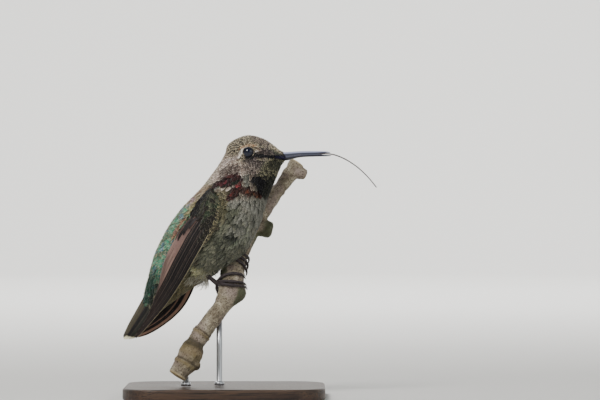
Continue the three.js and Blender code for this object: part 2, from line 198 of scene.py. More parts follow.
def grid_faces(rows, columns, closed=False):
    """The four-cornered faces of a grid of points, numbered row by row; closed joins the last column
    to the first."""
    row, column = np.meshgrid(np.arange(rows - 1), np.arange(columns - (not closed)), indexing="ij")
    after = (column + 1) % columns
    corners = [row * columns + column, row * columns + after,
               (row + 1) * columns + after, (row + 1) * columns + column]
    return np.stack(corners, -1).reshape(-1, 4)


def tube_faces(rows, columns):
    """A grid closed round its columns, with one many-sided face over each end."""
    first = np.arange(columns)[::-1][None]
    last = (rows - 1) * columns + np.arange(columns)[None]
    return [grid_faces(rows, columns, True), first, last]


def full_turn(count):
    """Even angles once round, from 0 and short of the last."""
    return np.linspace(0, 2 * np.pi, count, endpoint=False)


def level_rings(x, y, heights):
    """A grid of points whose rows lie flat, one at each height."""
    return np.stack([x, y, np.broadcast_to(heights[:, None], x.shape)], -1)


def faces_out(points, faces):
    """Turns every face round if the closed shape's volume comes out negative."""
    total = 0.0
    for f in faces:
        for k in range(1, f.shape[1] - 1):
            a, b, c = points[f[:, 0]], points[f[:, k]], points[f[:, k + 1]]
            total += np.einsum("ij,ij->i", a, np.cross(b, c)).sum()
    return [f[:, ::-1] for f in faces] if total < 0 else faces


def join_parts(parts):
    """Several ring grids as one set of points and closed, outward faces."""
    points, faces, offset = [], [], 0
    for part in parts:
        flat = part.reshape(-1, 3)
        points.append(flat)
        faces += [f + offset for f in faces_out(flat, tube_faces(*part.shape[:2]))]
        offset += len(flat)
    return np.concatenate(points), faces


def ring_piece(name, parts, material, smooth=True):
    """A piece from several closed ring grids."""
    return mesh_piece(name, *join_parts(parts), material, smooth)


def walnut():
    """Long wavy grain of dark brown, crossed by fine pores, under an oiled finish."""
    wood = Finish("oiled_walnut", Specular_IOR_Level=0.4, Coat_Weight=0.15, Coat_Roughness=0.25)
    along = wood.place((1, 0.09, 1))
    waves = wood.noise(along, 260, 6, 0.6, Distortion=0.6)
    pores = wood.noise(wood.place((1, 0.03, 1)), 2600, 3, 0.7)
    stops = [(0.25, shade("1d1410")), (0.48, shade("3b2a20")), (0.62, shade("4c3728")),
             (0.8, shade("2b1e17"))]
    grain = wood.node("ShaderNodeValToRGB", {"stops": stops}, {0: waves})
    dark_pores = wood.step(pores, 0.36, 0.5)
    colour = wood.blend(dark_pores, shade("150e0a"), grain)
    return wood.finish(colour, 0.42 + waves * 0.2, dark_pores, 0.00005, 0.5)


def base_plate():
    """A rounded rectangle swept up through the quarter-round of its lower edge, its side and the
    quarter-round of its upper edge."""
    corner_turn = np.linspace(0, np.pi / 2, CORNER_POINTS)
    turns = (corner_turn[None] + np.arange(4)[:, None] * np.pi / 2).ravel()
    diagonal = np.repeat(np.arange(4), CORNER_POINTS) * np.pi / 2 + np.pi / 4
    sign_x, sign_y = np.sign(np.cos(diagonal)), np.sign(np.sin(diagonal))
    bend = np.linspace(0, np.pi / 2, EDGE_POINTS)
    edge = BASE["edge"]
    inset = np.concatenate([edge * (1 - np.sin(bend)), edge * (1 - np.cos(bend))])
    height = np.concatenate([edge * (1 - np.cos(bend)), BASE["thickness"] - edge * (1 - np.sin(bend))])
    reach = BASE["corner"] - inset[:, None]
    x = sign_x * (BASE["width"] / 2 - BASE["corner"]) + reach * np.cos(turns)
    y = sign_y * (BASE["length"] / 2 - BASE["corner"]) + reach * np.sin(turns)
    return level_rings(x, y, height)


base = ring_piece("stand_plate", [base_plate()], walnut(), smooth=False)
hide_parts("stand_base")


# ------------------------------------------------------------------ stand's rods
# The rods are drawn steel, 2 mm through, each with a small turned collar where it stands on the base.
# They run from the plate up into the twig.

ROD = {"radius": 1.0, "collar": 1.7, "collar_height": 1.4}
ROD_SIDES = 48


def brushed_steel():
    """Bright steel with fine scratches round it that catch the light."""
    steel = Finish("brushed_steel", Metallic=1.0, Anisotropic=0.4)
    scratches = steel.noise(steel.place((0.05, 0.05, 1)), 9000, 3, 0.7)
    clouds = steel.noise(steel.place(), 300, 3)
    colour = steel.blend(clouds, shade("a9acb1"), shade("c9cbce"))
    return steel.finish(colour, 0.24 + scratches * 0.22, scratches, 0.00002, 0.4)


def rod_rings(low, high):
    """A round profile stepped out at the foot for the collar, turned about the rod's middle."""
    middle = (np.array(low) + np.array(high)) / 2 / MM
    bottom, top = low[2] / MM, high[2] / MM
    plain, collar, rise = ROD["radius"], ROD["collar"], ROD["collar_height"]
    profile = np.array([
        [collar - 0.2, bottom], [collar, bottom + 0.2], [collar, bottom + rise - 0.3],
        [collar - 0.2, bottom + rise - 0.08], [plain + 0.15, bottom + rise], [plain, bottom + rise + 0.2],
        [plain, (bottom + top) / 2], [plain, top],
    ])
    radius, height = profile.T
    turn = full_turn(ROD_SIDES)
    x = middle[0] + radius[:, None] * np.cos(turn)
    y = middle[1] + radius[:, None] * np.sin(turn)
    return level_rings(x, y, height)


steel = brushed_steel()
for rod_name in ("stand_rod_1", "stand_rod_2"):
    rod = ring_piece(rod_name.replace("rod", "post"), [rod_rings(*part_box(rod_name))], steel)
    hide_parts(rod_name)


# ------------------------------------------------------------------ perch
# The perch is a length of live twig, sawn through at both ends: grey-beige bark with fine dark specks,
# ring scars of old buds with painted shade in the dips beside them, one yellower swollen ring, knobs
# where side shoots were lost, and dull dark green on the undersides, partly a film of algae and partly
# painted shade, with a painted shadow under the belly. It runs through the top of both rods.

TWIG_AT = np.array([
    [-11.6, 15.8, 7.8], [-10.4, 12.1, 13.6], [-9.2, 8.9, 20.1], [-6.6, 0.9, 31.2], [-3.2, -1.9, 37.2],
    [1.6, -2.9, 43.2], [7.0, -5.4, 50.0], [10.6, -13.0, 63.4], [12.2, -19.6, 72.4], [13.4, -24.6, 79.9],
])
TWIG_RADII = np.array([3.2, 3.65, 3.05, 2.95, 4.05, 3.95, 3.1, 2.6, 2.35, 2.5])
# Side stubs: where each starts inside the stem, where it ends, and its radius at both ends.
TWIG_STUBS = [
    ([9.6, -9.4, 58.4], [9.2, -15.2, 56.7], 3.3, 2.7),
    ([12.8, -22.6, 77.4], [12.6, -27.2, 75.6], 2.4, 1.8),
    ([-10.8, 12.2, 12.8], [-11.4, 8.6, 10.8], 2.4, 1.3),
]
SWELLING = {"at": 0.385, "towards": np.array([0, -0.9, -0.45]), "height": 1.9, "reach": 2.8}
# Ring scars: place along the twig, height and half width of the ridge.
RING_SCARS = [(0.052, 0.3, 0.008), (0.1, 0.5, 0.02), (0.126, 0.35, 0.012), (0.183, 0.3, 0.006),
              (0.196, 0.22, 0.005), (0.47, 0.25, 0.008), (0.55, 0.2, 0.006), (0.735, 0.3, 0.012),
              (0.87, 0.25, 0.008), (0.945, 0.35, 0.014)]
STEM_RINGS = 760
STEM_SIDES = 160
REMESH_CELL = 0.2
POINTS_AT_ONCE = 20000


def through(values, t, free_ends=False):
    """A smooth line through listed values, read at place t from 0 to the last index. Between two values
    it is the cubic whose slope at each is half the step between that value's neighbours; past the ends
    it runs on straight. Free ends take the last step as going on beyond them."""
    v = np.asarray(values, float)
    first, last = (2 * v[0] - v[1], 2 * v[-1] - v[-2]) if free_ends else (v[0], v[-1])
    v = np.concatenate([first[None], v, last[None]])
    t = np.asarray(t, float)
    i = np.clip(np.floor(t).astype(int), 0, len(v) - 4)
    f = (t - i).reshape(t.shape + (1,) * (v.ndim - 1))
    g = np.clip(f, 0, 1)
    slope, next_slope = (v[i + 2] - v[i]) / 2, (v[i + 3] - v[i + 1]) / 2
    smooth = (v[i + 1] * (2 * g ** 3 - 3 * g ** 2 + 1) + slope * (g ** 3 - 2 * g ** 2 + g)
              + v[i + 2] * (3 * g ** 2 - 2 * g ** 3) + next_slope * (g ** 3 - g ** 2))
    return smooth + np.where(f < 0, slope, next_slope) * (f - g)


def unit(vectors):
    return vectors / np.maximum(np.linalg.norm(vectors, axis=-1, keepdims=True), 1e-9)


def run_of(line):
    """How far along a line of points each point is, in millimetres."""
    return np.concatenate([[0], np.cumsum(np.linalg.norm(np.diff(line, axis=0), axis=1))])


twig_places = np.linspace(0, len(TWIG_AT) - 1, 1601)
twig_run = run_of(through(TWIG_AT, twig_places, free_ends=True))
TWIG_LENGTH = twig_run[-1]


def twig_at(share):
    """The twig's middle, its way along and its plain radius at a share of its length."""
    place = np.interp(np.asarray(share) * TWIG_LENGTH, twig_run, twig_places)
    step = 0.01
    along = unit(through(TWIG_AT, place + step, True) - through(TWIG_AT, place - step, True))
    return through(TWIG_AT, place, True), along, through(TWIG_RADII, place)


def bark_radius(share, way):
    """The plain radius, and on the swelling's side a bell-shaped rise along it and round it."""
    away = (share - SWELLING["at"]) * TWIG_LENGTH / SWELLING["reach"]
    facing = np.maximum(0, way @ unit(SWELLING["towards"]))
    return twig_at(share)[2] + SWELLING["height"] * np.exp(-away ** 2) * facing ** 2


def ripples(points, size, seed, waves=24):
    """A soft random pattern from -1 to 1: the sum of plane waves about size apart, each with a random
    way and start, over the square root of their number, a tenth less, and cut off at -1 and 1."""
    rng = np.random.default_rng(seed)
    ways = unit(rng.normal(size=(waves, 3))) * 2 * np.pi / (size * rng.uniform(0.7, 1.5, (waves, 1)))
    starts = rng.uniform(0, 2 * np.pi, waves)
    total = np.zeros(points.shape[:-1])
    for way, start in zip(ways, starts):
        total += np.sin(points @ way + start)
    return np.clip(total / np.sqrt(waves) * 0.9, -1, 1)


def bell(value, centre, width):
    """1 at the centre, falling away on both sides to about a third at width from it."""
    return np.exp(-((value - centre) / width) ** 2)


def tube(line, radii, sides, start_turn=None):
    """Rings round a line of points: each lies across the line there, turned from the sideways way."""
    along = unit(np.gradient(line, axis=0))
    sideways = np.array([1.0, 0.0, 0.0]) if start_turn is None else np.asarray(start_turn, float)
    first = unit(sideways - (along @ sideways)[:, None] * along)
    second = np.cross(along, first)
    turn = full_turn(sides)
    way = first[:, None] * np.cos(turn)[None, :, None] + second[:, None] * np.sin(turn)[None, :, None]
    radii = np.broadcast_to(np.asarray(radii, float).reshape(len(line), -1), (len(line), sides))
    return line[:, None] + way * radii[..., None]


def close_ends(rings, steps=3, bulge=0.35):
    """Rings with each open end drawn in over a low dome of a few smaller rings."""
    def dome(ring, inwards):
        centre = ring.mean(0)
        outwards = unit(centre - inwards.mean(0))
        size = np.linalg.norm(ring - centre, axis=1).mean()
        bend = np.linspace(0, np.pi / 2, steps + 2)[1:-1]
        return [centre + (ring - centre) * np.cos(b) + outwards * size * bulge * np.sin(b) for b in bend]
    head = dome(rings[0], rings[1])[::-1]
    tail = dome(rings[-1], rings[-2])
    return np.stack([*head, *rings, *tail])


def stem_rings():
    """The stem: close rings whose radius is the bark's, with the ring scars standing out and a shallow
    dip beside each."""
    share = np.linspace(0, 1, STEM_RINGS)
    line, _, radius = twig_at(share)
    rings = tube(line, np.ones(len(line)), STEM_SIDES)
    way = rings - line[:, None]
    swell = bark_radius(share[:, None], way) - radius[:, None]
    scars = sum(height * bell(share, place, width) for place, height, width in RING_SCARS)
    dips = sum(0.12 * bell(share, place + width * 1.6, width * 0.7) for place, _, width in RING_SCARS)
    return line[:, None] + way * (radius[:, None] + swell + (scars - dips)[:, None])[..., None]


def stub_rings(start, end, start_radius, end_radius):
    """A short side stub: a tube from inside the stem outwards whose radius falls with the square of the
    way along, and whose foot flares into the stem."""
    share = np.linspace(0, 1, 40)
    line = np.array(start) + (np.array(end) - np.array(start)) * share[:, None]
    radius = start_radius + (end_radius - start_radius) * share ** 2 + 0.5 * np.exp(-share * 9)
    return tube(line, radius, 64, (0.3, 0.2, 1.0))


def twig_mesh():
    """Stem and stubs made one skin by filling them with small cells, and smoothed."""
    parts = [close_ends(stem_rings(), 3, 0.08)] + [close_ends(stub_rings(*stub)) for stub in TWIG_STUBS]
    rough = ring_piece("perch_form", parts, None)
    cells = rough.modifiers.new("cells", "REMESH")
    cells.mode = "VOXEL"
    cells.voxel_size = REMESH_CELL * MM
    cells.use_smooth_shade = True
    relax = rough.modifiers.new("relax", "SMOOTH")
    relax.iterations = 4
    return applied(rough)


def applied(piece):
    """The piece's points in millimetres, its faces of four and its outward ways, modifiers and all."""
    graph = bpy.context.evaluated_depsgraph_get()
    solid = piece.evaluated_get(graph).to_mesh()
    count = len(solid.vertices)
    points = np.empty(count * 3, np.float32)
    solid.vertices.foreach_get("co", points)
    normals = np.empty(count * 3, np.float32)
    solid.vertices.foreach_get("normal", normals)
    corners = np.empty(len(solid.loops), np.int32)
    solid.loops.foreach_get("vertex_index", corners)
    sizes = np.empty(len(solid.polygons), np.int32)
    solid.polygons.foreach_get("loop_total", sizes)
    piece.evaluated_get(graph).to_mesh_clear()
    bpy.data.objects.remove(piece)
    starts = np.concatenate([[0], np.cumsum(sizes)[:-1]])
    faces = [corners[starts[sizes == n][:, None] + np.arange(n)] for n in np.unique(sizes)]
    return points.reshape(-1, 3) / MM, faces, normals.reshape(-1, 3)


def paint_points(piece, **layers):
    """Stores a colour (n, 3) or a number (n,) at every point of the piece under each name."""
    for name, values in layers.items():
        values = np.asarray(values, np.float32)
        if values.ndim == 2:
            layer = piece.data.attributes.new(name, "FLOAT_COLOR", "POINT")
            full = np.concatenate([values, np.ones((len(values), 1), np.float32)], 1)
            layer.data.foreach_set("color", full.ravel())
        else:
            piece.data.attributes.new(name, "FLOAT", "POINT").data.foreach_set("value", values)


def nearest_on_twig(points):
    """For each point: its share along the twig and its way out from the twig's middle."""
    share = np.linspace(0, 1, 401)
    line = twig_at(share)[0]
    found = np.empty(len(points), int)
    for part in np.array_split(np.arange(len(points)), max(1, len(points) // POINTS_AT_ONCE)):
        gap = ((points[part, None] - line[None]) ** 2).sum(-1)
        found[part] = gap.argmin(1)
    return share[found], points - line[found]


def bark_finish():
    """Mottled grey-beige with a pinkish cast, pale flakes and fine dark specks; yellow-brown at the ring
    scars, darkened as painted shade in the dips beside them, and dull dark green that is partly an algal
    film and partly painted shade on the undersides, under the belly and beside the swelling."""
    bark = Finish("twig_bark", Specular_IOR_Level=0.25, Sheen_Weight=0.1)
    at = bark.place()
    broad = bark.noise(at, 420, 4, 0.6)
    fine = bark.noise(at, 2400, 5, 0.7)
    tint = bark.noise(at, 170, 2)
    stops = [(0.3, shade("463d31")), (0.43, shade("776c5b")), (0.57, shade("968c78")),
             (0.72, shade("c2b9a4"))]
    colour = bark.node("ShaderNodeValToRGB", {"stops": stops}, {0: broad * 0.75 + fine * 0.55 - 0.15})
    colour = bark.blend(bark.step(tint, 0.42, 0.66, 0, 0.55), colour, shade("94847f"))
    colour = bark.blend(bark.attribute("scar", 2) * 0.6, colour, shade("77683c"))
    # Painted shade in the dips beside the ring scars.
    colour = bark.blend(bark.attribute("crease", 2) * 0.75, colour, shade("2c261a"))
    # Dull dark green: partly algae, partly painted shade and a painted shadow.
    moss = bark.step(bark.attribute("moss", 2) + broad * 0.6, 0.55, 1.0, 0, 0.9)
    colour = bark.blend(moss, colour, bark.blend(fine, shade("1d2416"), shade("5d6347")))
    pits = bark.node("ShaderNodeTexVoronoi", {}, {"Vector": at, "Scale": 2100, "Randomness": 1.0})
    specks = bark.step(pits, 0.1, 0.26) * 0.75 + 0.25
    dark_specks = bark.step(bark.noise(at, 2000, 3, 0.6), 0.34, 0.46)
    colour = bark.blend(dark_specks * specks, shade("4a4234"), colour)
    colour = bark.blend(bark.attribute("cut", 2), colour, shade("c9b58c"))
    return bark.finish(colour, 0.75 + fine * 0.2, fine * 0.6 + dark_specks * 0.4, 0.00012, 0.7)


def bark_relief(points, share, out):
    """How far the bark stands out, in millimetres: wrinkles drawn out along the twig, coarse and fine,
    and broad and small lumps."""
    drawn_out = out * 0.9 + (share * TWIG_LENGTH)[:, None] * np.array([0.1, 0.22, 0.17])
    wrinkles = 0.09 * ripples(drawn_out, 1.1, 3) + 0.05 * ripples(drawn_out * 2.3, 1.1, 4)
    return wrinkles + (0.16 * ripples(points, 5.0, 5) + 0.04 * ripples(points, 0.8, 6))


def ring_marks(share):
    """The yellower wood on the higher ring scars near the low end, and painted shade in the dips beside
    them.
    """
    scars = sum(bell(share, place, width * 1.3) * (height > 0.28) for place, height, width in RING_SCARS)
    # Painted shade in the dips beside the first four ring scars.
    crease_shadows = sum(bell(share, place + width * 1.5, width * 0.55) for place, _, width in RING_SCARS[:4])
    return np.clip(scars, 0, 1) * (share < 0.2), np.clip(crease_shadows, 0, 1)


def algae_and_shade(points, share, ways):
    """How green and dark the bark is, partly an algal film and partly painted shade: on the undersides,
    most near the swelling and two thirds of the way up, as a painted shadow under the belly, on the
    swelling's front side and on the first stub."""
    # Painted shade on the undersides and on the swelling's front side, and a painted shadow under the belly,
    # mixed with the algae's green.
    facing_down = np.clip(-ways[:, 2] * 0.9 - ways[:, 1] * 0.45 - 0.25, 0, 1)
    damp_and_shade = 1.3 * bell(share, SWELLING["at"] + 0.005, 0.04) + bell(share, 0.66, 0.05)
    belly_shadow = 1.6 * bell(share, 0.45, 0.05) * np.clip(ways[:, 1] * 0.9 - 0.1, 0, 1)
    swelling_front_shade = (np.clip(-ways[:, 1] * 1.5 - 0.15, 0, 1)
                      * 1.3 * bell(share, SWELLING["at"] - 0.008, 0.022))
    stub = 1.5 * bell(np.linalg.norm(points - np.array(TWIG_STUBS[0][1]), axis=1), 0, 3.4)
    undersides = facing_down * np.clip(damp_and_shade + 0.3, 0, 1) * 1.4
    return np.clip(undersides + belly_shadow + swelling_front_shade + stub, 0, 1.4)


CUT_SHARE = 0.006  # the share of the twig's length at each end that shows sawn wood
bark_points, bark_faces, bark_ways = twig_mesh()
bark_share, bark_out = nearest_on_twig(bark_points)
inside_ends = np.clip(np.minimum(bark_share, 1 - bark_share) / CUT_SHARE, 0, 1)
relief = bark_relief(bark_points, bark_share, bark_out) * inside_ends
bark_points = bark_points + bark_ways * relief[:, None]
perch = mesh_piece("perch_twig", bark_points, bark_faces, bark_finish())
scars, crease_shadows = ring_marks(bark_share)
paint_points(perch, scar=scars, crease=crease_shadows, moss=algae_and_shade(bark_points, bark_share, bark_ways),
             cut=1 - inside_ends)
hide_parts("perch")


# ------------------------------------------------------------------ legs and feet
# A hummingbird's legs are short and weak. A thin shank of dark horny skin comes out of the belly down
# and ends in a small foot: three toes wrap over the twig to the front and the hind toe holds from
# behind. Each toe is banded with narrow scutes and ends in a long curved black claw.

# How far the bark's relief may stand out under a foot.
BARK_ROOM = 0.3
# Toes: where each starts along the twig from the sole, where it ends, how far it sags down the twig half
# way, the angle it wraps through and the angle its claw adds. The right foot's toes run up along the
# slope of the twig, so that they lie level across it.
HIND_TOE = (-0.4, -2.6, 0, -66, -40)
SOLE_WAY = np.array([0.0, 0.87, 0.42])
FEET = {
    "right": {
        "at": 0.403, "top": [-3.4, 7.4, 42.6],
        "toes": [(0.4, 4.2, 0, 120, 34), (0.0, 1.9, 1.5, 128, 40), (-0.4, 0.8, 2.0, 132, 40), HIND_TOE],
    },
    "left": {
        "at": 0.517, "top": [4.0, 3.6, 49.6],
        "toes": [(0.7, 3.0, 0, 150, 46), (0.0, 0.2, 0, 158, 46), (-0.7, -2.6, 0, 146, 46), HIND_TOE],
    },
}
TOE_RADIUS = 0.55
TOE_SINK = 0.22
SOLE_RADIUS = 0.95
SHANK_RADIUS = 0.72
SCUTE_HEIGHT = 0.05
CLAW_OVERLAP = 0.02
LEG_POINTS = 90


def foot_ways(foot):
    """Out from the twig's middle to the sole, and round it towards the near side."""
    along = twig_at(foot["at"])[1]
    out = unit(SOLE_WAY - SOLE_WAY @ along * along)
    round_way = unit(np.cross(along, out))
    return out, round_way * (-1 if round_way[0] > 0 else 1)


def over_bark(foot, along, angle, height):
    """Points over the bark: a distance along the twig from the foot, an angle round it, a height."""
    out, round_way = foot_ways(foot)
    share = foot["at"] + along / TWIG_LENGTH
    way = out * np.cos(angle)[:, None] + round_way * np.sin(angle)[:, None]
    return twig_at(share)[0] + way * (bark_radius(share, way) + BARK_ROOM + height)[:, None]


def over_sole(foot, height):
    """The point at a height over the bark where the foot stands."""
    return over_bark(foot, np.zeros(1), np.zeros(1), height)[0]


def toe_line(foot, toe):
    """The toe's middle: along and angle change evenly, and the claw lifts over its last stretch."""
    start, end, dip, wrap, claw = toe
    t = np.linspace(0, 1, LEG_POINTS)
    along = start + (end - start) * np.minimum(1, t * 1.3) - dip * np.sin(np.pi * np.minimum(1, t * 1.1))
    angle = np.radians((wrap + claw) * t)
    return over_bark(foot, along, angle, TOE_RADIUS - TOE_SINK + 0.3 * np.maximum(0, t - 0.7)), t


def claw_start(toe):
    """The share of a toe's line at which its claw starts: its own angle over both angles."""
    wrap, claw = toe[3:]
    return 1 - abs(claw) / abs(wrap + claw)


def scutes(distance, pitch):
    """Rounded steps: the height of overlapping bands a pitch apart, steep on one side."""
    phase = (distance / pitch) % 1
    return 1 - phase ** 2


def toe_rings(foot, toe):
    """A tube along the toe to where its claw starts, fatter at the joints, banded and rounded off."""
    line, t = toe_line(foot, toe)
    line = line[t <= claw_start(toe) + CLAW_OVERLAP]
    run = run_of(line)
    end = run[-1]
    radius = TOE_RADIUS * (1 - 0.22 * run / end) + 0.05 * np.cos(2 * np.pi * run / end * 3)
    rounded = np.sqrt(np.clip(1 - ((run - end + 0.5) / 0.62) ** 2, 0.2, 1))
    radius = radius * np.where(run > end - 0.5, rounded, 1)
    return close_ends(tube(line, radius + SCUTE_HEIGHT * scutes(run, 0.42), 24))


def claw_rings(foot, toe):
    """A horn that leaves the toe's end as thick as the toe, narrows to a point and hooks in."""
    line, t = toe_line(foot, toe)
    start = claw_start(toe)
    keep = t >= start - CLAW_OVERLAP
    line, share = line[keep], np.clip((t[keep] - start) / (1 - start), 0, 1)
    return close_ends(tube(line, 0.4 * (1 - share) ** 0.7 + 0.05, 16))


def shank_rings(foot):
    """A slim banded tube from the belly feathers to the ankle, swollen at both ends."""
    ankle = over_sole(foot, SOLE_RADIUS - 0.1)
    t = np.linspace(0, 1, LEG_POINTS)[:, None]
    line = np.array(foot["top"]) * (1 - t) + ankle * t
    run = run_of(line)
    radius = SHANK_RADIUS * (1.0 + 0.3 * (1 - t[:, 0]) ** 3 + 0.1 * bell(t[:, 0], 1, 0.15))
    return close_ends(tube(line, radius + SCUTE_HEIGHT * scutes(run, 0.6), 28))


def sole_rings(foot):
    """A small ball where the toes meet."""
    centre = over_sole(foot, SOLE_RADIUS - 0.25)
    bend = np.linspace(0.12, np.pi - 0.12, 18)
    line = centre + np.cos(bend)[:, None] * np.array([0.2, 0.3, 0.8]) * SOLE_RADIUS
    return tube(line, SOLE_RADIUS * np.sin(bend) * 0.95, 24)


def leg_finish():
    """Matt dark purple-brown skin, paler and dustier in fine random patches."""
    leg = Finish("leg_skin", Specular_IOR_Level=0.35)
    clouds = leg.noise(leg.place(), 900, 4, 0.6)
    grain = leg.noise(leg.place(), 5200, 3, 0.7)
    colour = leg.blend(clouds, shade("171315"), shade("40363a"))
    colour = leg.blend(leg.step(grain, 0.5, 0.72, 0, 0.5), colour, shade("6f665c"))
    return leg.finish(colour, 0.5 + grain * 0.3, grain, 0.00004, 0.6)


def grained(name, pattern, dark, pale, rough, rougher=0.0, bump=0.0, **fixed):
    """A plain finish whose one soft pattern (lumps to the metre, detail and its roughness) takes the
    colour from dark to pale, adds up to rougher to how rough it is, and stands bump metres high."""
    plain = Finish(name, **fixed)
    grain = plain.noise(plain.place(), *pattern)
    colour = plain.blend(grain, shade(dark), shade(pale))
    roughness = rough + grain * rougher if rougher else rough
    return plain.finish(colour, roughness, grain if bump else None, bump, 0.5)


leg_skin = leg_finish()
claw_horn = grained("claw_horn", (2600, 3), "0f0d0e", "362b29", 0.32, 0.15,
                    Specular_IOR_Level=0.5, Coat_Weight=0.3, Coat_Roughness=0.25)
for side, foot in FEET.items():
    parts = [shank_rings(foot), sole_rings(foot)] + [toe_rings(foot, toe) for toe in foot["toes"]]
    leg = ring_piece(f"leg_and_foot_{side}", parts, leg_skin)
    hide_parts(f"leg_{side}", f"foot_{side}")
    claws = ring_piece(f"claws_{side}", [claw_rings(foot, toe) for toe in foot["toes"]], claw_horn)


# ------------------------------------------------------------------ folded wings' space
# Both wings lie folded along the body with their tips over the tail. The left one is a little fanned,
# so that its longest feathers show below the right wing. The body's feathers tuck in under them.

WING_UPPER = np.array([[5.6, 5.3, 71.0], [6.6, 8.0, 67.2], [7.3, 12.0, 60.5], [7.5, 17.0, 53.2],
                       [7.0, 20.3, 46.0], [6.1, 22.5, 37.5], [5.0, 25.7, 28.8], [4.3, 30.6, 20.7]])
WING_LEADING = np.array([[7.2, 3.9, 70.2], [9.6, 2.2, 65.8], [11.3, 3.1, 60.2], [11.4, 5.9, 54.4],
                         [10.6, 9.7, 47.8], [8.7, 14.3, 39.8], [6.6, 20.5, 30.8], [4.6, 29.9, 20.1]])
WING_END = 7
WING_BULGE = 0.9
LEFT_WING_DROOP = {"most": 5.2, "way": (-0.84, -0.54), "lateness": 3.4}


def wing_sheet(t, across, side):
    """The wing's middle sheet: straight across from its upper to its leading edge, bowed outwards."""
    share = np.clip(t / WING_END, 0, 1)
    most, way, lateness = LEFT_WING_DROOP.values()
    droop = most * np.sin(np.pi * share ** lateness) if side > 0 else 0
    inside = np.clip(across, 0, 1)
    bulge = WING_BULGE * np.sin(np.pi * inside) * np.sin(np.pi * np.minimum(1, share + 0.1))
    upper, leading = through(WING_UPPER, t), through(WING_LEADING, t)
    point = upper + (leading - upper) * across[..., None]
    point[..., 0] = side * (point[..., 0] + bulge)
    point[..., 1] += way[0] * droop * across
    point[..., 2] += way[1] * droop * across
    return point


def wing_thickness(t, across):
    """2.6 mm near the shoulder, 1.7 mm half way and 0.7 mm at the tip, thinner towards both edges."""
    share = np.clip(t / WING_END, 0, 1)
    lens = 0.35 + 0.65 * np.sin(np.pi * np.clip(across, 0, 1)) ** 0.6
    return np.interp(share, [0, 0.5, 1], [2.6, 1.7, 0.7]) * lens


# The map of the wings' inner faces, seen from the side: its cells in millimetres, where the first lies
# (y, z), how many there are each way, and the reach where no wing lies over a cell.
CELL = 0.25
CELLS_FROM = np.array([-6.0, 12.0])
CELL_COUNT = (190, 260)
NO_WING = 50.0
LEAST_HALF_WIDTH = 0.2


def wing_inside_map(side):
    """Seen from the side, how far out the wing's inner face is over each small cell, rising steeply
    past the wing's edges."""
    along, beside = np.linspace(-0.3, WING_END, 1100), np.linspace(-0.6, 1.6, 330)
    t, across = np.meshgrid(along, beside, indexing="ij")
    point = wing_sheet(t, across, side)
    past = np.maximum(0, np.abs(across - 0.5) - 0.5)
    width = np.linalg.norm(through(WING_LEADING, t) - through(WING_UPPER, t), axis=-1)
    limit = np.abs(point[..., 0]) - wing_thickness(t, across) / 2 + past * width * 1.3
    cell = np.round((point[..., 1:] - CELLS_FROM) / CELL).astype(int)
    cell = np.clip(cell, 0, np.array(CELL_COUNT) - 1)
    found = np.full(CELL_COUNT, NO_WING)
    np.minimum.at(found, (cell[..., 0].ravel(), cell[..., 1].ravel()), limit.ravel())
    return found


WING_INSIDE = {side: wing_inside_map(side) for side in (-1, 1)}


def under_wings(points, room):
    """Draws points that would lie in or outside a folded wing in to room under its inner face."""
    at = (points[..., 1:] - CELLS_FROM) / CELL
    low = np.clip(np.floor(at).astype(int), 0, np.array(CELL_COUNT) - 2)
    f = np.clip(at - low, 0, 1)
    moved = points.copy()
    for side, found in WING_INSIDE.items():
        y, z = low[..., 0], low[..., 1]
        limit = ((found[y, z] * (1 - f[..., 0]) + found[y + 1, z] * f[..., 0]) * (1 - f[..., 1])
                 + (found[y, z + 1] * (1 - f[..., 0]) + found[y + 1, z + 1] * f[..., 0]) * f[..., 1])
        x = moved[..., 0] * side
        reach = np.maximum(limit - room, LEAST_HALF_WIDTH)
        moved[..., 0] = np.where(x > 0, np.minimum(x, reach), x) * side
    return moved


# The part of the twig that the bird sits on: lowest and highest y and z.
TWIG_BELOW_BIRD = np.array([[-14, 28], [11, 60]])


def off_twig(points, room):
    """Moves points that lie in the twig, or nearer to its bark than room, straight out from it."""
    flat = points.reshape(-1, 3)
    low, high = TWIG_BELOW_BIRD
    near = np.flatnonzero(((flat[:, 1:] > low) & (flat[:, 1:] < high)).all(1))
    share, way = nearest_on_twig(flat[near])
    distance = np.linalg.norm(way, axis=1)
    reach = bark_radius(share, way / distance[:, None]) + room
    inside = distance < reach
    moved = flat.copy()
    centre = flat[near] - way
    moved[near[inside]] = (centre + way * (reach / distance)[:, None])[inside]
    return moved.reshape(points.shape)


# ------------------------------------------------------------------ body skin
# One unbroken skin covers head, neck and trunk. It is thin, soft and hidden by the feathers that stand
# on it: it lies under their outer surface by the depth of the plumage.

# Stations from tail to bill: the back line and the front line seen from the side (y, z), the half width,
# how far the widest place leans to the front, and the depth of the plumage.
BODY_BACK = np.array([[28.1, 33.2], [25.5, 43.7], [23.3, 50.4], [18.9, 58.7], [14.3, 64.8], [8.1, 71.2],
                      [3.1, 77.7], [0.2, 82.4], [-0.9, 85.7], [-3.7, 87.8], [-7.9, 89.1], [-12.6, 88.1],
                      [-16.0, 86.1], [-18.6, 84.0], [-20.0, 83.35]])
BODY_FRONT = np.array([[22.3, 28.8], [12.2, 36.2], [5.9, 40.1], [-2.4, 45.2], [-7.8, 50.5], [-12.2, 59.2],
                       [-14.9, 68.2], [-17.1, 73.5], [-18.0, 75.8], [-18.8, 77.6], [-19.3, 78.8],
                       [-19.8, 79.5], [-20.1, 79.8], [-20.3, 80.1], [-20.9, 80.5]])
BODY_HALF = np.array([3.6, 6.3, 8.6, 10.6, 11.5, 11.0, 8.9, 7.7, 7.4, 7.0, 6.1, 4.5, 3.0, 1.8, 1.3])
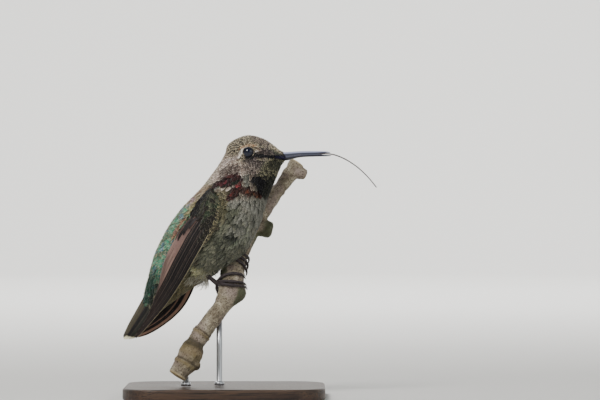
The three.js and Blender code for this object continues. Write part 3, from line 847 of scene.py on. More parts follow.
BODY_LEAN = np.array([0, 0, 0.02, 0.06, 0.08, 0.06, 0.02, 0.06, 0.1, 0.12, 0.12, 0.08, 0.02, 0, 0])
BODY_END = 14
COAT_DEPTH = np.array([0.9, 1.2, 1.6, 1.9, 1.8, 1.5, 1.2, 0.9, 0.7, 0.6, 0.55, 0.45, 0.35, 0.25, 0.1])
WING_ROOM = 0.15
TWIG_ROOM = 1.0
EYE = {"out": 5.4, "y": -8.0, "z": 83.1, "radius": 2.1}
EYE_OPENING = 1.7


def body_surface(s, turn):
    """The outer surface of the plumage: at place s an oval between the back line and the front line,
    where turn is 0 at the back, a quarter turn on the left side and half a turn at the front."""
    back, front = through(BODY_BACK, s), through(BODY_FRONT, s)
    middle, depth = (back + front) / 2, np.linalg.norm(back - front, axis=-1) / 2
    up = unit(back - front)
    x = through(BODY_HALF, s) * np.sin(turn) * (1 - through(BODY_LEAN, s) * np.cos(turn))
    yz = middle + up * (depth * np.cos(turn))[..., None]
    return np.concatenate([x[..., None], yz], -1)


class Sheet:
    """A surface worked out once over a fine grid of its two parameters, to be read between its points:
    its places, its outward ways and how many millimetres one step of each parameter is."""

    def __init__(self, shape, u, v, turned=False):
        self.u, self.v = u, v
        step_u, step_v = u[1] - u[0], v[1] - v[0]
        self.points = shape(*np.meshgrid(u, v, indexing="ij"))
        along, across = np.gradient(self.points, step_u, step_v, axis=(0, 1))
        self.out = unit(np.cross(along, across)) * (-1 if turned else 1)
        self.size_u = np.linalg.norm(along, axis=-1)
        self.size_v = np.linalg.norm(across, axis=-1)

    def read(self, table, u, v):
        """The table's value at (u, v), even between its four nearest entries."""
        p = np.clip((u - self.u[0]) / (self.u[1] - self.u[0]), 0, len(self.u) - 1.001)
        q = np.clip((v - self.v[0]) / (self.v[1] - self.v[0]), 0, len(self.v) - 1.001)
        i, j = p.astype(int), q.astype(int)
        f, g = p - i, q - j
        if table.ndim == 3:
            f, g = f[..., None], g[..., None]
        low = table[i, j] * (1 - g) + table[i, j + 1] * g
        high = table[i + 1, j] * (1 - g) + table[i + 1, j + 1] * g
        return low * (1 - f) + high * f


def coat_depth(s, turn):
    """How far the skin lies under the plumage: most on the belly, a third less along the back."""
    return through(COAT_DEPTH, s) * (1 - 0.35 * np.clip(np.cos(turn), 0, 1))


def feathered_surface(s, turn):
    """The plumage's outer surface, drawn in under the wings and kept off the twig."""
    return off_twig(under_wings(body_surface(s, turn), WING_ROOM), TWIG_ROOM)


BODY = Sheet(feathered_surface, np.arange(-1.0, BODY_END + 0.01, 0.025), np.radians(np.arange(-8, 369, 1.5)))


def skin_grid():
    """The outer surface moved in by the coat's depth: rings from tail to bill, and the place and turn of
    every point."""
    places, turns = np.linspace(-0.3, BODY_END, 240), full_turn(160)
    s, turn = np.meshgrid(places, turns, indexing="ij")
    rings = BODY.read(BODY.points, s, turn) - BODY.read(BODY.out, s, turn) * coat_depth(s, turn)[..., None]
    return rings, s, turn


def on_vane(finish):
    """Where a point is on its vane, as two values from 0 to 1: from side to side, and from root to tip."""
    at = finish.node("ShaderNodeUVMap", {"uv_map": "vane"})
    parts = finish.node("ShaderNodeSeparateXYZ", {}, {0: at})
    return parts, Value(finish, parts.socket.node.outputs[1])


def barb_noise(finish, slanting, side, luck, detail):
    """The streaks of the barbs, drawn out along them and different on every vane by its luck."""
    lines = finish.node("ShaderNodeCombineXYZ", {}, {0: slanting, 1: side, 2: luck * 90})
    return finish.noise(lines, 1.0, detail, 0.6)


def plumage_shade(name, **fixed):
    """Feather vanes seen close: a dark middle that gives way to a paler fringe towards the sides and
    tip, a fine shaft, slanting barbs on both sides of it, and a shine where the vane is iridescent."""
    vane = Finish(name, Specular_IOR_Level=0.2, **fixed)
    across, along = on_vane(vane)
    side = vane.math("ABSOLUTE", across * 2 - 1)
    towards_tip = vane.math("MAXIMUM", (along - 0.42) * 1.75)
    from_middle = (side ** 2 + towards_tip ** 2) ** 0.5
    luck = vane.attribute("luck", 2)
    barbs = barb_noise(vane, (along - side * 0.35) * 16, side, luck, 2)
    uneven = barbs * 0.5 - 0.25
    fringe = vane.step(from_middle + uneven, vane.attribute("fringe_start", 2), 1.0)
    shaft = vane.step(side, 0.03, 0.14, 0.35, 0.0)
    colour = vane.blend(fringe, vane.attribute("dark"), vane.attribute("pale"))
    colour = vane.blend(shaft, colour, vane.attribute("pale"))
    colour = vane.dimmed(colour, 0.6 + barbs * 0.5 + luck * 0.3)
    glint = vane.attribute("glint", 2)
    return vane.finish(colour, 0.82 - glint * 0.45, barbs, 0.00006, 0.5, glint * 0.6)


def ease(value, low, high):
    """0 below low, 1 above high, and an even S between them."""
    t = np.clip((value - low) / (high - low), 0, 1)
    return t * t * (3 - 2 * t)


def between(first, second, amount):
    """The first colour where amount is 0 and the second where it is 1, for each of many amounts."""
    return first + (second - first) * amount[:, None]


def stroke(points, path, soft):
    """1 on a brush stroke seen from the side, 0 beyond soft millimetres from it. Its path is a list of
    (y, z, half width), and it is as wide as the half widths at the nearest place along it say."""
    at, nearest = points[:, 1:], np.full(len(points), np.inf)
    path = np.array(path if len(path) > 1 else path * 2, float)
    for start, end in zip(path[:-1], path[1:]):
        way = end[:2] - start[:2]
        t = np.clip((at - start[:2]) @ way / max(way @ way, 1e-9), 0, 1)
        half_width = start[2] + (end[2] - start[2]) * t
        gap = np.linalg.norm(at - start[:2] - t[:, None] * way, axis=1) - half_width
        nearest = np.minimum(nearest, gap)
    return 1 - ease(nearest, -soft / 2, soft / 2)


# Tracts of plumage: where they lie (place along the body from and to, then the cosine of the turn, 1 on
# the back and -1 on the breast, from and to), the dark middle and the pale fringe of their feathers.
TRACTS = [
    (-2, 15, -2, 2, "4b4e40", "6b6c5b"),        # flanks, olive-grey
    (4.0, 15, -2, -0.35, "63635a", "85847a"),   # breast
    (1.6, 4.2, -2, -0.5, "4c4e42", "6f6f60"),   # belly
    (-2, 1.9, -2, 0.1, "46432e", "7d7557"),     # under the tail, olive-yellow
    (-2, 5.6, 0.42, 2, "3a6a54", "9c8f74"),     # back and rump, green
    (5.2, 7.4, -0.05, 2, "7c6a5e", "fff0e2"),   # hind neck, pale fringes brightened as painted rim light
    (7.0, 15, 0.12, 2, "1e1914", "eedfc0"),     # crown
    (7.0, 11, -0.42, 0.14, "1f1816", "a69790"),  # cheek
    (5.3, 7.2, -0.5, 0.0, "4a4138", "a5978a"),  # side of the neck
    (6.2, 15, -2, -0.4, "161612", "a8a384"),    # chin and throat
]

# Marks of the face, throat and back: path seen from the side, softness, dark, pale, strength, glint.
MARKS = [
    ([(-10.2, 88.4, 1.5), (-14.5, 86.5, 1.6)], 1.5, "352b28", "a5958b", 0.7, 0),         # forehead
    ([(-16.0, 79.0, 1.4), (-18.9, 78.5, 1.6)], 1.2, "12130f", "5c5c4a", 0.9, 0),         # chin
    ([(-7.1, 80.2, 0.9), (-9.2, 79.9, 0.9)], 0.9, "332c2b", "9b8e89", 0.7, 0),           # below the eye
    ([(-3.2, 77.2, 1.9), (0.8, 76.2, 1.3)], 1.4, "2a221e", "7c6c66", 0.8, 0),            # behind the cheek
    ([(-6.5, 78.0, 1.2), (-9.5, 76.6, 1.3)], 1.2, "382f2b", "b2a39b", 0.75, 0),          # pale lower cheek
    ([(-4.8, 84.3, 0.4), (-6.1, 84.9, 0.45), (-8.2, 85.7, 0.45), (-10.2, 85.3, 0.4), (-11.6, 84.3, 0.3)],
     0.6, "8a6a4e", "ffe2bc", 0.95, 0),                                                   # brow
    ([(-7.1, 81.3, 0.3), (-9.5, 81.4, 0.6), (-12.6, 82.0, 0.65), (-15.3, 81.7, 0.6), (-18.2, 81.5, 0.8),
      (-20.0, 81.7, 1.2)], 0.35, "060608", "16161c", 1, 0),                               # lores
    ([(-11.4, 83.0, 0.4), (-15.4, 82.9, 0.4)], 0.7, "1c1715", "4f453e", 0.75, 0),
    ([(-10.9, 82.6, 0.25), (-12.4, 82.4, 0.35)], 0.3, "0c0b0b", "231f1d", 0.9, 0),
    ([(-16.4, 81.8, 0.15), (-18.6, 81.5, 0.35), (-20.6, 81.4, 0.5)],
     0.35, "131028", "3d386a", 0.9, 0),                                                   # gape
    ([(-10.6, 80.3, 0.3), (-13.3, 81.2, 0.35), (-15.3, 80.6, 0.3)], 0.4, "544c3e", "d8cdb0", 0.85, 0),
    ([(-5.1, 81.9, 0.5), (-3.1, 81.1, 0.7), (-0.3, 79.9, 0.7), (0.6, 79.0, 0.4)],
     1.0, "8d8078", "ece0d8", 0.8, 0),                                                    # streak behind
    ([(-6.3, 84.3, 0.2), (-5.9, 83.3, 0.75), (-5.3, 82.3, 0.5), (-4.9, 81.8, 0.2)],
     0.35, "d8cdbe", "fffdf6", 1, 0),
    ([(1.2, 81.2, 0.5), (2.4, 78.2, 0.6), (3.4, 76.0, 0.5)],
     1.4, "877b6e", "dccfbe", 0.8, 0),                                                    # nape, pale fluff brightened as painted rim light
    ([(-10.6, 83.5, 0.28)], 0.3, "a9a198", "e2dad0", 1, 0),                               # painted highlight before the eye
    ([(-7.0, 74.9, 1.0), (-7.6, 72.4, 1.1)], 1.2, "4a4c46", "82867d", 0.75, 0),          # grey-green
    ([(-10.9, 73.4, 1.9), (-13.3, 71.7, 2.6), (-12.6, 69.0, 1.7)], 0.8, "09080b", "141216", 1, 0.1),
    ([(-16.2, 73.8, 1.7), (-14.6, 69.0, 1.7)], 1.2, "0c0d0a", "35362b", 0.95, 0.05),     # throat's edge
    ([(5.1, 71.0, 0.3), (3.4, 71.7, 0.9), (1.7, 72.5, 1.4), (-1.7, 73.6, 2.1), (-4.4, 74.1, 1.8),
      (-5.6, 73.7, 0.8)], 0.5, "1d1010", "3f2a28", 1, 0.08),                              # neck stripe
    # Painted glints: red flashes of the iridescent neck stripe, brightest in one spot, and a dark green gleam
    # below them.
    ([(-0.4, 75.0, 0.5), (-4.2, 74.9, 0.7)], 0.9, "3c1a1b", "643a38", 0.8, 0.15),
    ([(2.2, 72.2, 0.4), (-0.8, 72.7, 0.7)], 0.9, "461a1f", "6e3a3c", 0.8, 0.15),
    ([(0.1, 72.6, 0.3)], 0.5, "6a2831", "934c55", 0.8, 0.25),
    ([(-2.4, 72.9, 0.5), (-4.6, 72.6, 0.4)], 0.5, "101811", "2c362a", 0.9, 0.2),
    ([(2.8, 68.8, 1.4), (0.6, 68.6, 1.9), (-0.2, 65.6, 1.4)], 1.2, "3b3624", "8d8462", 0.85, 0),
    ([(3.4, 70.2, 0.3), (1.2, 70.4, 0.15), (-1.4, 70.7, 0.1)],
     0.5, "64574a", "b3a28c", 0.75, 0),                                                   # pale wedge
    ([(0.4, 71.5, 0.2), (-1.8, 71.6, 0.2), (-3.2, 72.1, 0.1)], 0.5, "151a14", "343a2e", 0.8, 0.1),
    ([(-1.5, 67.6, 0.9), (-3.0, 69.3, 1.5), (-4.9, 71.3, 1.1)], 0.5, "220f0d", "452722", 1, 0.15),
    ([(-5.4, 70.7, 1.1), (-8.2, 69.7, 1.3), (-10.5, 68.8, 1.2), (-12.4, 68.0, 0.6)],
     0.6, "24110e", "4a2e26", 0.95, 0.2),                                                 # copper edge
    # Painted glints: copper flashes along the gorget's edge, and red flashes at its apex and in its left
    # lobe.
    ([(-6.0, 70.9, 0.25), (-8.1, 69.4, 0.3)], 0.4, "5f2a1f", "8c5343", 0.85, 0.3),
    ([(-7.9, 70.0, 0.25), (-10.2, 68.0, 0.3)], 0.4, "5c3320", "865b44", 0.85, 0.3),
    ([(-10.0, 69.2, 0.2), (-11.9, 67.5, 0.25)], 0.4, "5c3a24", "7f6048", 0.85, 0.3),
    ([(-4.3, 72.4, 0.4), (-4.9, 71.4, 0.9), (-4.2, 70.2, 0.6)], 0.5, "7c2c30", "ab5658", 0.95, 0.3),
    ([(-2.4, 69.2, 0.3), (-1.9, 68.2, 0.3)], 0.5, "5c2420", "7c4038", 0.8, 0.3),
    ([(-2.4, 65.4, 1.3), (-7.1, 65.9, 1.5), (-11.2, 64.4, 1.6)], 1.6, "6f6e66", "94938a", 0.8, 0),
    ([(1.6, 64.9, 1.5), (0.6, 60.2, 1.4)], 1.4, "38351f", "7c7558", 0.6, 0),
    ([(-2.4, 59.0, 0.8), (-4.8, 58.0, 0.9)], 1.5, "1c1f1a", "3a3d35", 0.85, 0),          # blotches below
    ([(-0.6, 54.4, 1.0), (-3.6, 53.0, 1.4)], 1.6, "131610", "2a2e27", 0.95, 0),
    ([(2.4, 53.6, 0.9), (1.4, 50.6, 0.7)], 1.4, "1f221a", "3c3f35", 0.7, 0),
    ([(0.2, 48.4, 1.2), (5.2, 48.3, 0.6)], 2.0, "262a21", "454a3e", 0.6, 0),
    ([(-2.0, 51.0, 0.5), (-4.8, 53.2, 0.4)], 1.0, "6a705e", "9aa18c", 0.7, 0),
    ([(-8.0, 57.0, 0.9), (-6.8, 53.0, 0.9)], 1.8, "66685a", "8f927f", 0.7, 0),
    ([(4.0, 60.0, 1.0), (3.0, 57.4, 1.0)], 1.5, "3e352a", "6e6150", 0.6, 0),
    ([(9.6, 46.0, 1.0)], 2.0, "3b322b", "625548", 0.7, 0),
    ([(10.5, 42.9, 1.2), (6.3, 40.6, 1.2)], 1.8, "8e8a62", "d8d4aa", 0.85, 0),           # vent
    ([(13.4, 60.9, 0.5), (15.3, 58.4, 0.6), (17.6, 54.4, 0.5)], 0.8, "7a4a38", "b98a70", 0.85, 0),
    ([(6.0, 71.4, 1.2), (9.0, 68.8, 2.2), (11.6, 66.4, 2.2)], 1.6, "85705c", "dcc8ac", 0.85, 0),
    ([(7.6, 70.6, 0.3), (11.2, 67.6, 0.3)], 0.8, "3c2c24", "8d7058", 0.6, 0),
    ([(10.2, 65.6, 0.9), (12.8, 62.2, 0.8)], 1.2, "746a46", "c9bd8e", 0.85, 0),
    ([(11.3, 67.0, 0.7)], 1.0, "94707e", "d4b2b4", 0.8, 0),
    ([(12.6, 65.0, 0.5)], 0.8, "8289a0", "c8c8c8", 0.6, 0),
    ([(23.5, 38.1, 0.5), (24.4, 35.4, 0.8), (25.2, 32.1, 0.9)],
     0.9, "09120f", "1d2c26", 0.92, 0),                                                   # low rump
    ([(28.3, 33.0, 0.6)], 0.9, "2b4564", "7d97b0", 0.7, 0),
]


def markings(points, s, turn):
    """The colours of a feather whose visible part is at these points: dark middle, pale fringe and how
    iridescent it is. The tracts are laid one over another, then blotches on the flanks, then the green
    and blue spangles of the back with its brown and buff patches and its pale ridge, brightened as a
    painted rim light, and the marks last, the gorget's painted glints among them."""
    cosine = np.cos(turn)
    dark, pale, glint = np.zeros((len(points), 3)), np.zeros((len(points), 3)), np.zeros(len(points))

    def lay(amount, dark_shade, pale_shade, shine=0.0):
        dark[:] += (shade(dark_shade) - dark) * amount[:, None]
        pale[:] += (shade(pale_shade) - pale) * amount[:, None]
        glint[:] += (shine - glint) * amount

    for s_from, s_to, cos_from, cos_to, dark_shade, pale_shade in TRACTS:
        inside = (ease(s, s_from - 0.35, s_from + 0.35) * (1 - ease(s, s_to - 0.35, s_to + 0.35))
                  * ease(cosine, cos_from - 0.12, cos_from + 0.12)
                  * (1 - ease(cosine, cos_to - 0.12, cos_to + 0.12)))
        lay(inside, dark_shade, pale_shade)
    flank = (1 - ease(cosine, 0.2, 0.45)) * ease(s, 1.2, 2.2) * (1 - ease(s, 4.8, 5.6))
    blotch = ease(ripples(points, 3.4, 11), 0.15, 0.7)
    lay(flank * blotch * 0.6, "24271f", "3f4136")
    lay(flank * ease(ripples(points, 2.6, 12), 0.35, 0.8) * 0.5, "6b6a58", "8d8a75")
    back = ease(cosine, 0.3, 0.6) * (1 - ease(s, 4.9, 5.6))
    spangle = ripples(points, 2.8, 13)
    lay(back * ease(spangle, -0.2, 0.3) * 0.85, "3a9c7c", "b3c8a6", 0.3)
    lay(back * ease(-spangle, 0.55, 0.85) * 0.7, "4b86a0", "b3c2bb", 0.3)
    lay(back * ease(ripples(points, 2.0, 14), 0.3, 0.7) * 0.5, "40342a", "c9b18f")
    lay(back * ease(s, 4.1, 4.9) * (0.5 + 0.4 * ripples(points, 2.4, 16)), "6f5f52", "cbb79b")
    lay(back * (1 - ease(s, 0.6, 1.6)) * 0.95, "0b3022", "30443a", 0.3)
    # Painted rim light: a pale line along the back's ridge over its buff fringes, and a fainter one up the
    # hind neck.
    lay(ease(cosine, 0.965, 0.99) * (1 - ease(s, 5.4, 6.2)) * (0.42 + 0.25 * spangle), "747050", "dcd2a8")
    lay(ease(cosine, 0.9, 0.98) * ease(s, 5.2, 6.0) * (1 - ease(s, 8.0, 8.8)) * 0.6, "5f5446", "b3a38c")
    uneven = ease(ripples(points, 1.0, 15), -0.5, 0.3)
    for path, soft, dark_shade, pale_shade, amount, shine in MARKS:
        patchy = uneven if shine >= 0.25 else 1
        lay(stroke(points, path, soft) * amount * patchy, dark_shade, pale_shade, shine)
    return dark, pale, glint


def skin_finish():
    """Thin skin in the colours of the feathers that grow on it, finely dimpled at their roots."""
    skin = Finish("bird_skin", Specular_IOR_Level=0.25)
    dimples = skin.noise(skin.place(), 2200, 3, 0.7)
    worn = skin.blend(dimples, shade("1c1a18"), skin.attribute("dark"))
    return skin.finish(worn, 0.85 - skin.attribute("glint", 2) * 0.2, dimples, 0.00005, 0.5)


skin_rings, skin_s, skin_turn = skin_grid()
skin_parts = close_ends(skin_rings, 5, 0.3)
skin_points, skin_faces = join_parts([skin_parts])
skin = mesh_piece("body_skin", skin_points, skin_faces, skin_finish())
ends = (skin_parts.shape[0] - skin_rings.shape[0]) // 2
padded = [np.pad(values, ((ends, ends), (0, 0)), "edge").ravel() for values in (skin_s, skin_turn)]
skin_dark, skin_pale, skin_glint = markings(skin_points, *padded)
paint_points(skin, dark=skin_dark * 0.75 + skin_pale * 0.1, glint=skin_glint)
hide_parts("trunk", "neck", "head")


# ------------------------------------------------------------------ plumage
# Every feather is a small closed vane of keratin on a fine shaft, rooted in the skin and lying back
# towards the tail over the roots of those behind it, so that only its outer third shows. They are
# scale-like on the crown and face, broader and looser on the breast, belly and back.

# How far apart the roots are, in millimetres, at each station of the body.
SPACING = np.array([0.95, 0.92, 0.88, 0.86, 0.86, 0.86, 0.84, 0.84, 0.8, 0.76, 0.72, 0.64, 0.54, 0.44, 0.4])
BODY_FROM, BODY_TO = -0.4, 13.9
# The two steps of the golden sequence in the plane, which spread points more evenly than chance does.
GOLDEN_STEPS = (0.7548776662, 0.5698402910)


def spacing_at(s, _turn):
    return through(SPACING, s)


def scatter(sheet, u_range, v_range, spacing, seed):
    """Evenly spread roots: the terms of a golden sequence, carried over so that each small patch gets
    as many as its area holds at the spacing there. The seed shifts where the sequence starts."""
    u, v = np.linspace(*u_range, 200), np.linspace(*v_range, 300)
    grid = np.meshgrid(u, v, indexing="ij")
    area = sheet.read(sheet.size_u, *grid) * sheet.read(sheet.size_v, *grid) * (u[1] - u[0]) * (v[1] - v[0])
    share = area / spacing(*grid) ** 2
    order = np.arange(1, int(share.sum()) + 1)
    first = (0.5 + seed * 0.317 + order * GOLDEN_STEPS[0]) % 1
    second = (0.5 + seed * 0.719 + order * GOLDEN_STEPS[1]) % 1
    along = np.cumsum(share.sum(1)) / share.sum()
    root_u = np.interp(first, along, u)
    row = np.clip(np.searchsorted(u, root_u), 0, len(u) - 1)
    across = np.cumsum(share, axis=1)
    across = across / across[:, -1:]
    place = (across[row] < second[:, None]).sum(1)
    return root_u, v[np.clip(place, 0, len(v) - 1)] + (first * 7.31 % 1 - 0.5) * (v[1] - v[0])


def leaf_faces(rows, columns):
    """One closed vane: its upper sheet, then its flat underside joining both edges and its two ends."""
    left = np.arange(rows) * (columns + 1)
    right = left + columns
    under = np.stack([left, left + columns + 1, right + columns + 1, right], -1)
    root = np.concatenate([[0], np.arange(columns, 0, -1)])[None]
    tip = (rows * (columns + 1) + np.arange(columns + 1))[None]
    return grid_faces(rows + 1, columns + 1), [under, np.concatenate([root, tip])]


def vane_width(a):
    """Half as wide at the root, full at two fifths of the way, then rounded off like an ellipse."""
    rounded = np.sqrt(np.clip(1 - ((a - 0.4) / 0.62) ** 2, 0, 1))
    return np.where(a < 0.4, 1 - 0.55 * (1 - a / 0.4) ** 2, rounded)


VANE_ROWS, VANE_COLUMNS = 6, 4
# The row and column of a vane's points that lie in the part that shows.
SEEN_ROW, SEEN_COLUMN = 4, 2


def leaves(sheet, u, v, length, width, swing, low, high, seed, cup, ragged=0.1):
    """Vanes on a sheet, as an array (vane, row, column, 3). From its root at (u, v) a vane runs length
    towards smaller u, turned by swing, and width across; it rises from low under the sheet to high over
    it, steeply at first, and its sides curve down by cup. The tip and edges are slightly ragged."""
    rng = np.random.default_rng(seed)
    a = 1 - (1 - np.linspace(0, 1, VANE_ROWS + 1)) ** 1.4
    b = np.linspace(-1, 1, VANE_COLUMNS + 1)
    a = np.broadcast_to(a[None, :, None], (len(u), VANE_ROWS + 1, VANE_COLUMNS + 1))
    b = np.broadcast_to(b[None, None, :], a.shape)
    wide = vane_width(a) * (1 + ragged * rng.uniform(-1, 1, a.shape) * (np.abs(b) > 0.9))
    along = length[:, None, None] * a * (1 + ragged * rng.uniform(-1, 0.6, a.shape) * (a > 0.99))
    across = width[:, None, None] / 2 * wide * b
    cos, sin = np.cos(swing)[:, None, None], np.sin(swing)[:, None, None]
    forward, sideways = along * cos - across * sin, along * sin + across * cos
    middle_u = u - length / 2 / np.maximum(sheet.read(sheet.size_u, u, v), 0.5)
    size_u = np.maximum(sheet.read(sheet.size_u, middle_u, v), 0.6)[:, None, None]
    size_v = np.maximum(sheet.read(sheet.size_v, middle_u, v), 0.8)[:, None, None]
    at_u, at_v = u[:, None, None] - forward / size_u, v[:, None, None] + sideways / size_v
    rise = 1 - (1 - a) ** 1.7
    height = (-low[:, None, None] * (1 - rise) + high[:, None, None] * rise
              - cup * width[:, None, None] * b ** 2 * (0.4 + 0.6 * a))
    return sheet.read(sheet.points, at_u, at_v) + sheet.read(sheet.out, at_u, at_v) * height[..., None]


PATCH = 0.003


def on_baking_map(place, own):
    """Each vane's small patch of the baking map, round its root's place there."""
    return place * (1 - 2 * PATCH) + PATCH + (own - 0.5) * PATCH


def lay_maps(piece, groups, own, patch):
    """Stores both maps of a piece at the corners of its faces."""
    corners = np.concatenate([g.ravel() for g in groups])
    for layer_name, places in (("vane", own), ("OFBake", patch)):
        layer = piece.data.uv_layers.new(name=layer_name, do_init=False)
        layer.uv.foreach_set("vector", places[corners].astype(np.float32).ravel())


def vane_piece(name, points, root_place, dark, pale, glint, fringe_start, finish, slot, seed):
    """Joins an array of vanes into one piece with its colours at every point, the vane's own map (side
    to side, root to tip) and the baking map, where a vane is a small patch at its root's place."""
    count, rows, columns = points.shape[0], points.shape[1] - 1, points.shape[2] - 1
    size = (rows + 1) * (columns + 1)
    top, rest = leaf_faces(rows, columns)
    first = np.arange(count)[:, None, None] * size
    groups = [(f[None] + first).reshape(-1, f.shape[1]) for f in [top, *rest]]
    piece = mesh_piece(name, points.reshape(-1, 3), groups, finish)
    smooth = np.concatenate([np.full(len(groups[0]), True), np.full(sum(map(len, groups[1:])), False)])
    piece.data.polygons.foreach_set("use_smooth", smooth)
    a, b = np.meshgrid(np.linspace(0, 1, rows + 1), np.linspace(0, 1, columns + 1), indexing="ij")
    own = np.tile(np.stack([b, a], -1).reshape(1, size, 2), (count, 1, 1))
    patch = on_baking_map(root_place[:, None, :], own)
    lay_maps(piece, groups, own.reshape(-1, 2), patch.reshape(-1, 2))
    luck = np.random.default_rng(seed).uniform(0, 1, count)
    each = {"dark": dark, "pale": pale, "glint": glint, "luck": luck, "fringe_start": fringe_start}
    paint_points(piece, **{key: np.repeat(values, size, axis=0) for key, values in each.items()})


def body_root_place(s, turn):
    """A root's place on the baking map: along the body, then round it."""
    return np.stack([(s - BODY_FROM) / (BODY_TO - BODY_FROM), (turn / (2 * np.pi)) % 1], -1)


EYE_CLEAR = EYE_OPENING + 0.1
EYE_CROWD = 0.35
SIDE_OF_HEAD = 3


def eye_gap(points):
    """Pushes feathers that would cover an eye back to just outside its rim: everything from its middle
    out to the clear ring and the crowd's width beyond is drawn together into that width."""
    centre = np.array([EYE["y"], EYE["z"]])
    way = points[..., 1:] - centre
    distance = np.linalg.norm(way, axis=-1, keepdims=True)
    reach = EYE_CLEAR + EYE_CROWD
    beside = (np.abs(points[..., :1]) > SIDE_OF_HEAD) & (distance < reach)
    pushed = centre + way / np.maximum(distance, 1e-6) * (EYE_CLEAR + EYE_CROWD * distance / reach)
    moved = points.copy()
    moved[..., 1:] = np.where(beside, pushed, points[..., 1:])
    return moved


feather_finish = plumage_shade("feather_vane", Sheen_Weight=0.15, Sheen_Roughness=0.5)
throat_finish = plumage_shade("throat_vane", Coat_Weight=0.08, Coat_Roughness=0.3)

# Coats: name, places along the body from and to, cosine of the turn from and to, slot, length and width
# of a vane as a multiple of the spacing, how far its tip stands off, how unevenly the vanes lie, and how
# far out the pale fringe starts.
COATS = [
    ("plumage_crown", 6.9, 13.9, 0.1, 1.1, "plumage_head", 2.7, 1.5, 0.05, 0.16, 0.7),
    ("plumage_cheeks", 6.9, 13.9, -0.4, 0.1, "plumage_head", 2.7, 1.45, 0.05, 0.22, 0.71),
    ("plumage_throat", 5.6, 13.9, -1.1, -0.4, "gorget", 2.7, 1.5, 0.05, 0.16, 0.72),
    ("plumage_neck", 5.0, 6.9, -0.4, 1.1, "plumage_head", 3.2, 1.5, 0.06, 0.24, 0.62),
    ("plumage_breast", 3.4, 5.6, -1.1, -0.4, "plumage_body", 4.2, 1.5, 0.06, 0.2, 0.3),
    ("plumage_sides", 1.8, 5.0, -0.4, 0.35, "plumage_body", 4.4, 1.5, 0.06, 0.22, 0.3),
    ("plumage_belly", 1.8, 3.4, -1.1, -0.4, "plumage_body", 4.4, 1.4, 0.1, 0.26, 0.3),
    ("plumage_vent", -0.4, 1.8, -1.1, 0.35, "plumage_body", 4.0, 1.4, 0.08, 0.2, 0.4),
    ("plumage_back", 1.6, 5.0, 0.35, 1.1, "plumage_body", 3.0, 1.45, 0.06, 0.2, 0.7),
    ("plumage_rump", -0.4, 1.6, 0.35, 1.1, "plumage_body", 3.2, 1.45, 0.06, 0.18, 0.7),
]
# A coat's number is added to each of these to seed its sizes, its ragged edges and its vanes' luck.
SIZE_SEED, EDGE_SEED, LUCK_SEED = 100, 200, 300

root_s, root_turn = scatter(BODY, (BODY_FROM, BODY_TO), (0, 2 * np.pi), spacing_at, 1)
for number, coat in enumerate(COATS):
    name, s_from, s_to, cos_from, cos_to, slot, long, broad, proud, loose, rim = coat
    cosine = np.cos(root_turn)
    chosen = (root_s >= s_from) & (root_s < s_to) & (cosine >= cos_from) & (cosine < cos_to)
    s, turn = root_s[chosen], root_turn[chosen]
    rng = np.random.default_rng(SIZE_SEED + number)
    gap = spacing_at(s, turn)
    length = gap * long * rng.uniform(0.85, 1.15, len(s))
    width = gap * broad * rng.uniform(0.88, 1.12, len(s))
    swing = rng.normal(0, loose, len(s))
    low = coat_depth(s, turn)
    high = proud * rng.uniform(-0.6, 1.0, len(s)) * np.where(rng.uniform(size=len(s)) < 0.15, 2.2, 1)
    soft = slot == "plumage_body"
    points = eye_gap(leaves(BODY, s, turn, length, width, swing, low, high, EDGE_SEED + number,
                            cup=0.07 if soft else 0.14, ragged=0.22 if soft else 0.1))
    seen_s = s - 0.6 * length / np.maximum(BODY.read(BODY.size_u, s, turn), 0.6)
    dark, pale, glint = markings(points[:, SEEN_ROW, SEEN_COLUMN], seen_s, turn)
    vane_piece(name, points, body_root_place(s, turn), dark, pale, glint, np.full(len(s), rim),
               throat_finish if slot == "gorget" else feather_finish, slot, LUCK_SEED + number)


# ------------------------------------------------------------------ down
# Loose whitish down shows where the legs come out and under the tail: long soft strands with no stiff
# vane, rooted in the skin among the other feathers and standing off from them.

# The stroke of down and its longest, whitest tuft, as (y, z, half width), and how far apart its roots are.
DOWN_STROKE = [(11.5, 41.0, 0.6), (8.6, 40.6, 1.0), (5.4, 41.0, 1.3), (4.4, 43.6, 0.5)]
DOWN_TUFT = [(5.6, 40.6, 0.9)]
DOWN_SPACING = 0.4

down_s, down_turn = scatter(BODY, (1.0, 3.4), (0, 2 * np.pi), lambda s, _: np.full_like(s, DOWN_SPACING), 9)
rng = np.random.default_rng(500)
root_points = BODY.read(BODY.points, down_s, down_turn)
likely = stroke(root_points, DOWN_STROKE, 1.2) * (np.cos(down_turn) < 0.2)
here = likely > rng.uniform(0, 1.6, len(down_s))
down_s, down_turn = down_s[here], down_turn[here]
count = len(down_s)
hanging = stroke(root_points[here], DOWN_TUFT, 0.8)
down = leaves(BODY, down_s, down_turn, rng.uniform(2.4, 4.4, count), rng.uniform(0.16, 0.34, count),
              rng.normal(0, 0.55, count), coat_depth(down_s, down_turn),
              rng.uniform(0.1, 0.9, count) + hanging * rng.uniform(0.6, 2.4, count), 501,
              cup=0.02, ragged=0.3)
whiteness = np.maximum(rng.uniform(0, 0.55, count), hanging)
pale_down = between(shade("8f8c74"), shade("f2ecdd"), whiteness)
vane_piece("plumage_down", down, body_root_place(down_s, down_turn), pale_down * 0.5, pale_down,
           np.zeros(count), np.full(count, 0.2), feather_finish, "plumage_body", 502)


# ------------------------------------------------------------------ eyes
# Large dark eyes set in the sides of the head. The ball is glossy and black, tinted dark blue as a painted
# sheen, with no white showing.
# Bare dark lids close round it in a slim rolled rim, and sit a little proud of the skin.

BALL_RINGS, BALL_SIDES = 40, 64
LID_POINTS, LID_SIDES = 72, 16
LID_TILT = 0.12


def eye_centre(side):
    return np.array([side * EYE["out"], EYE["y"], EYE["z"]])


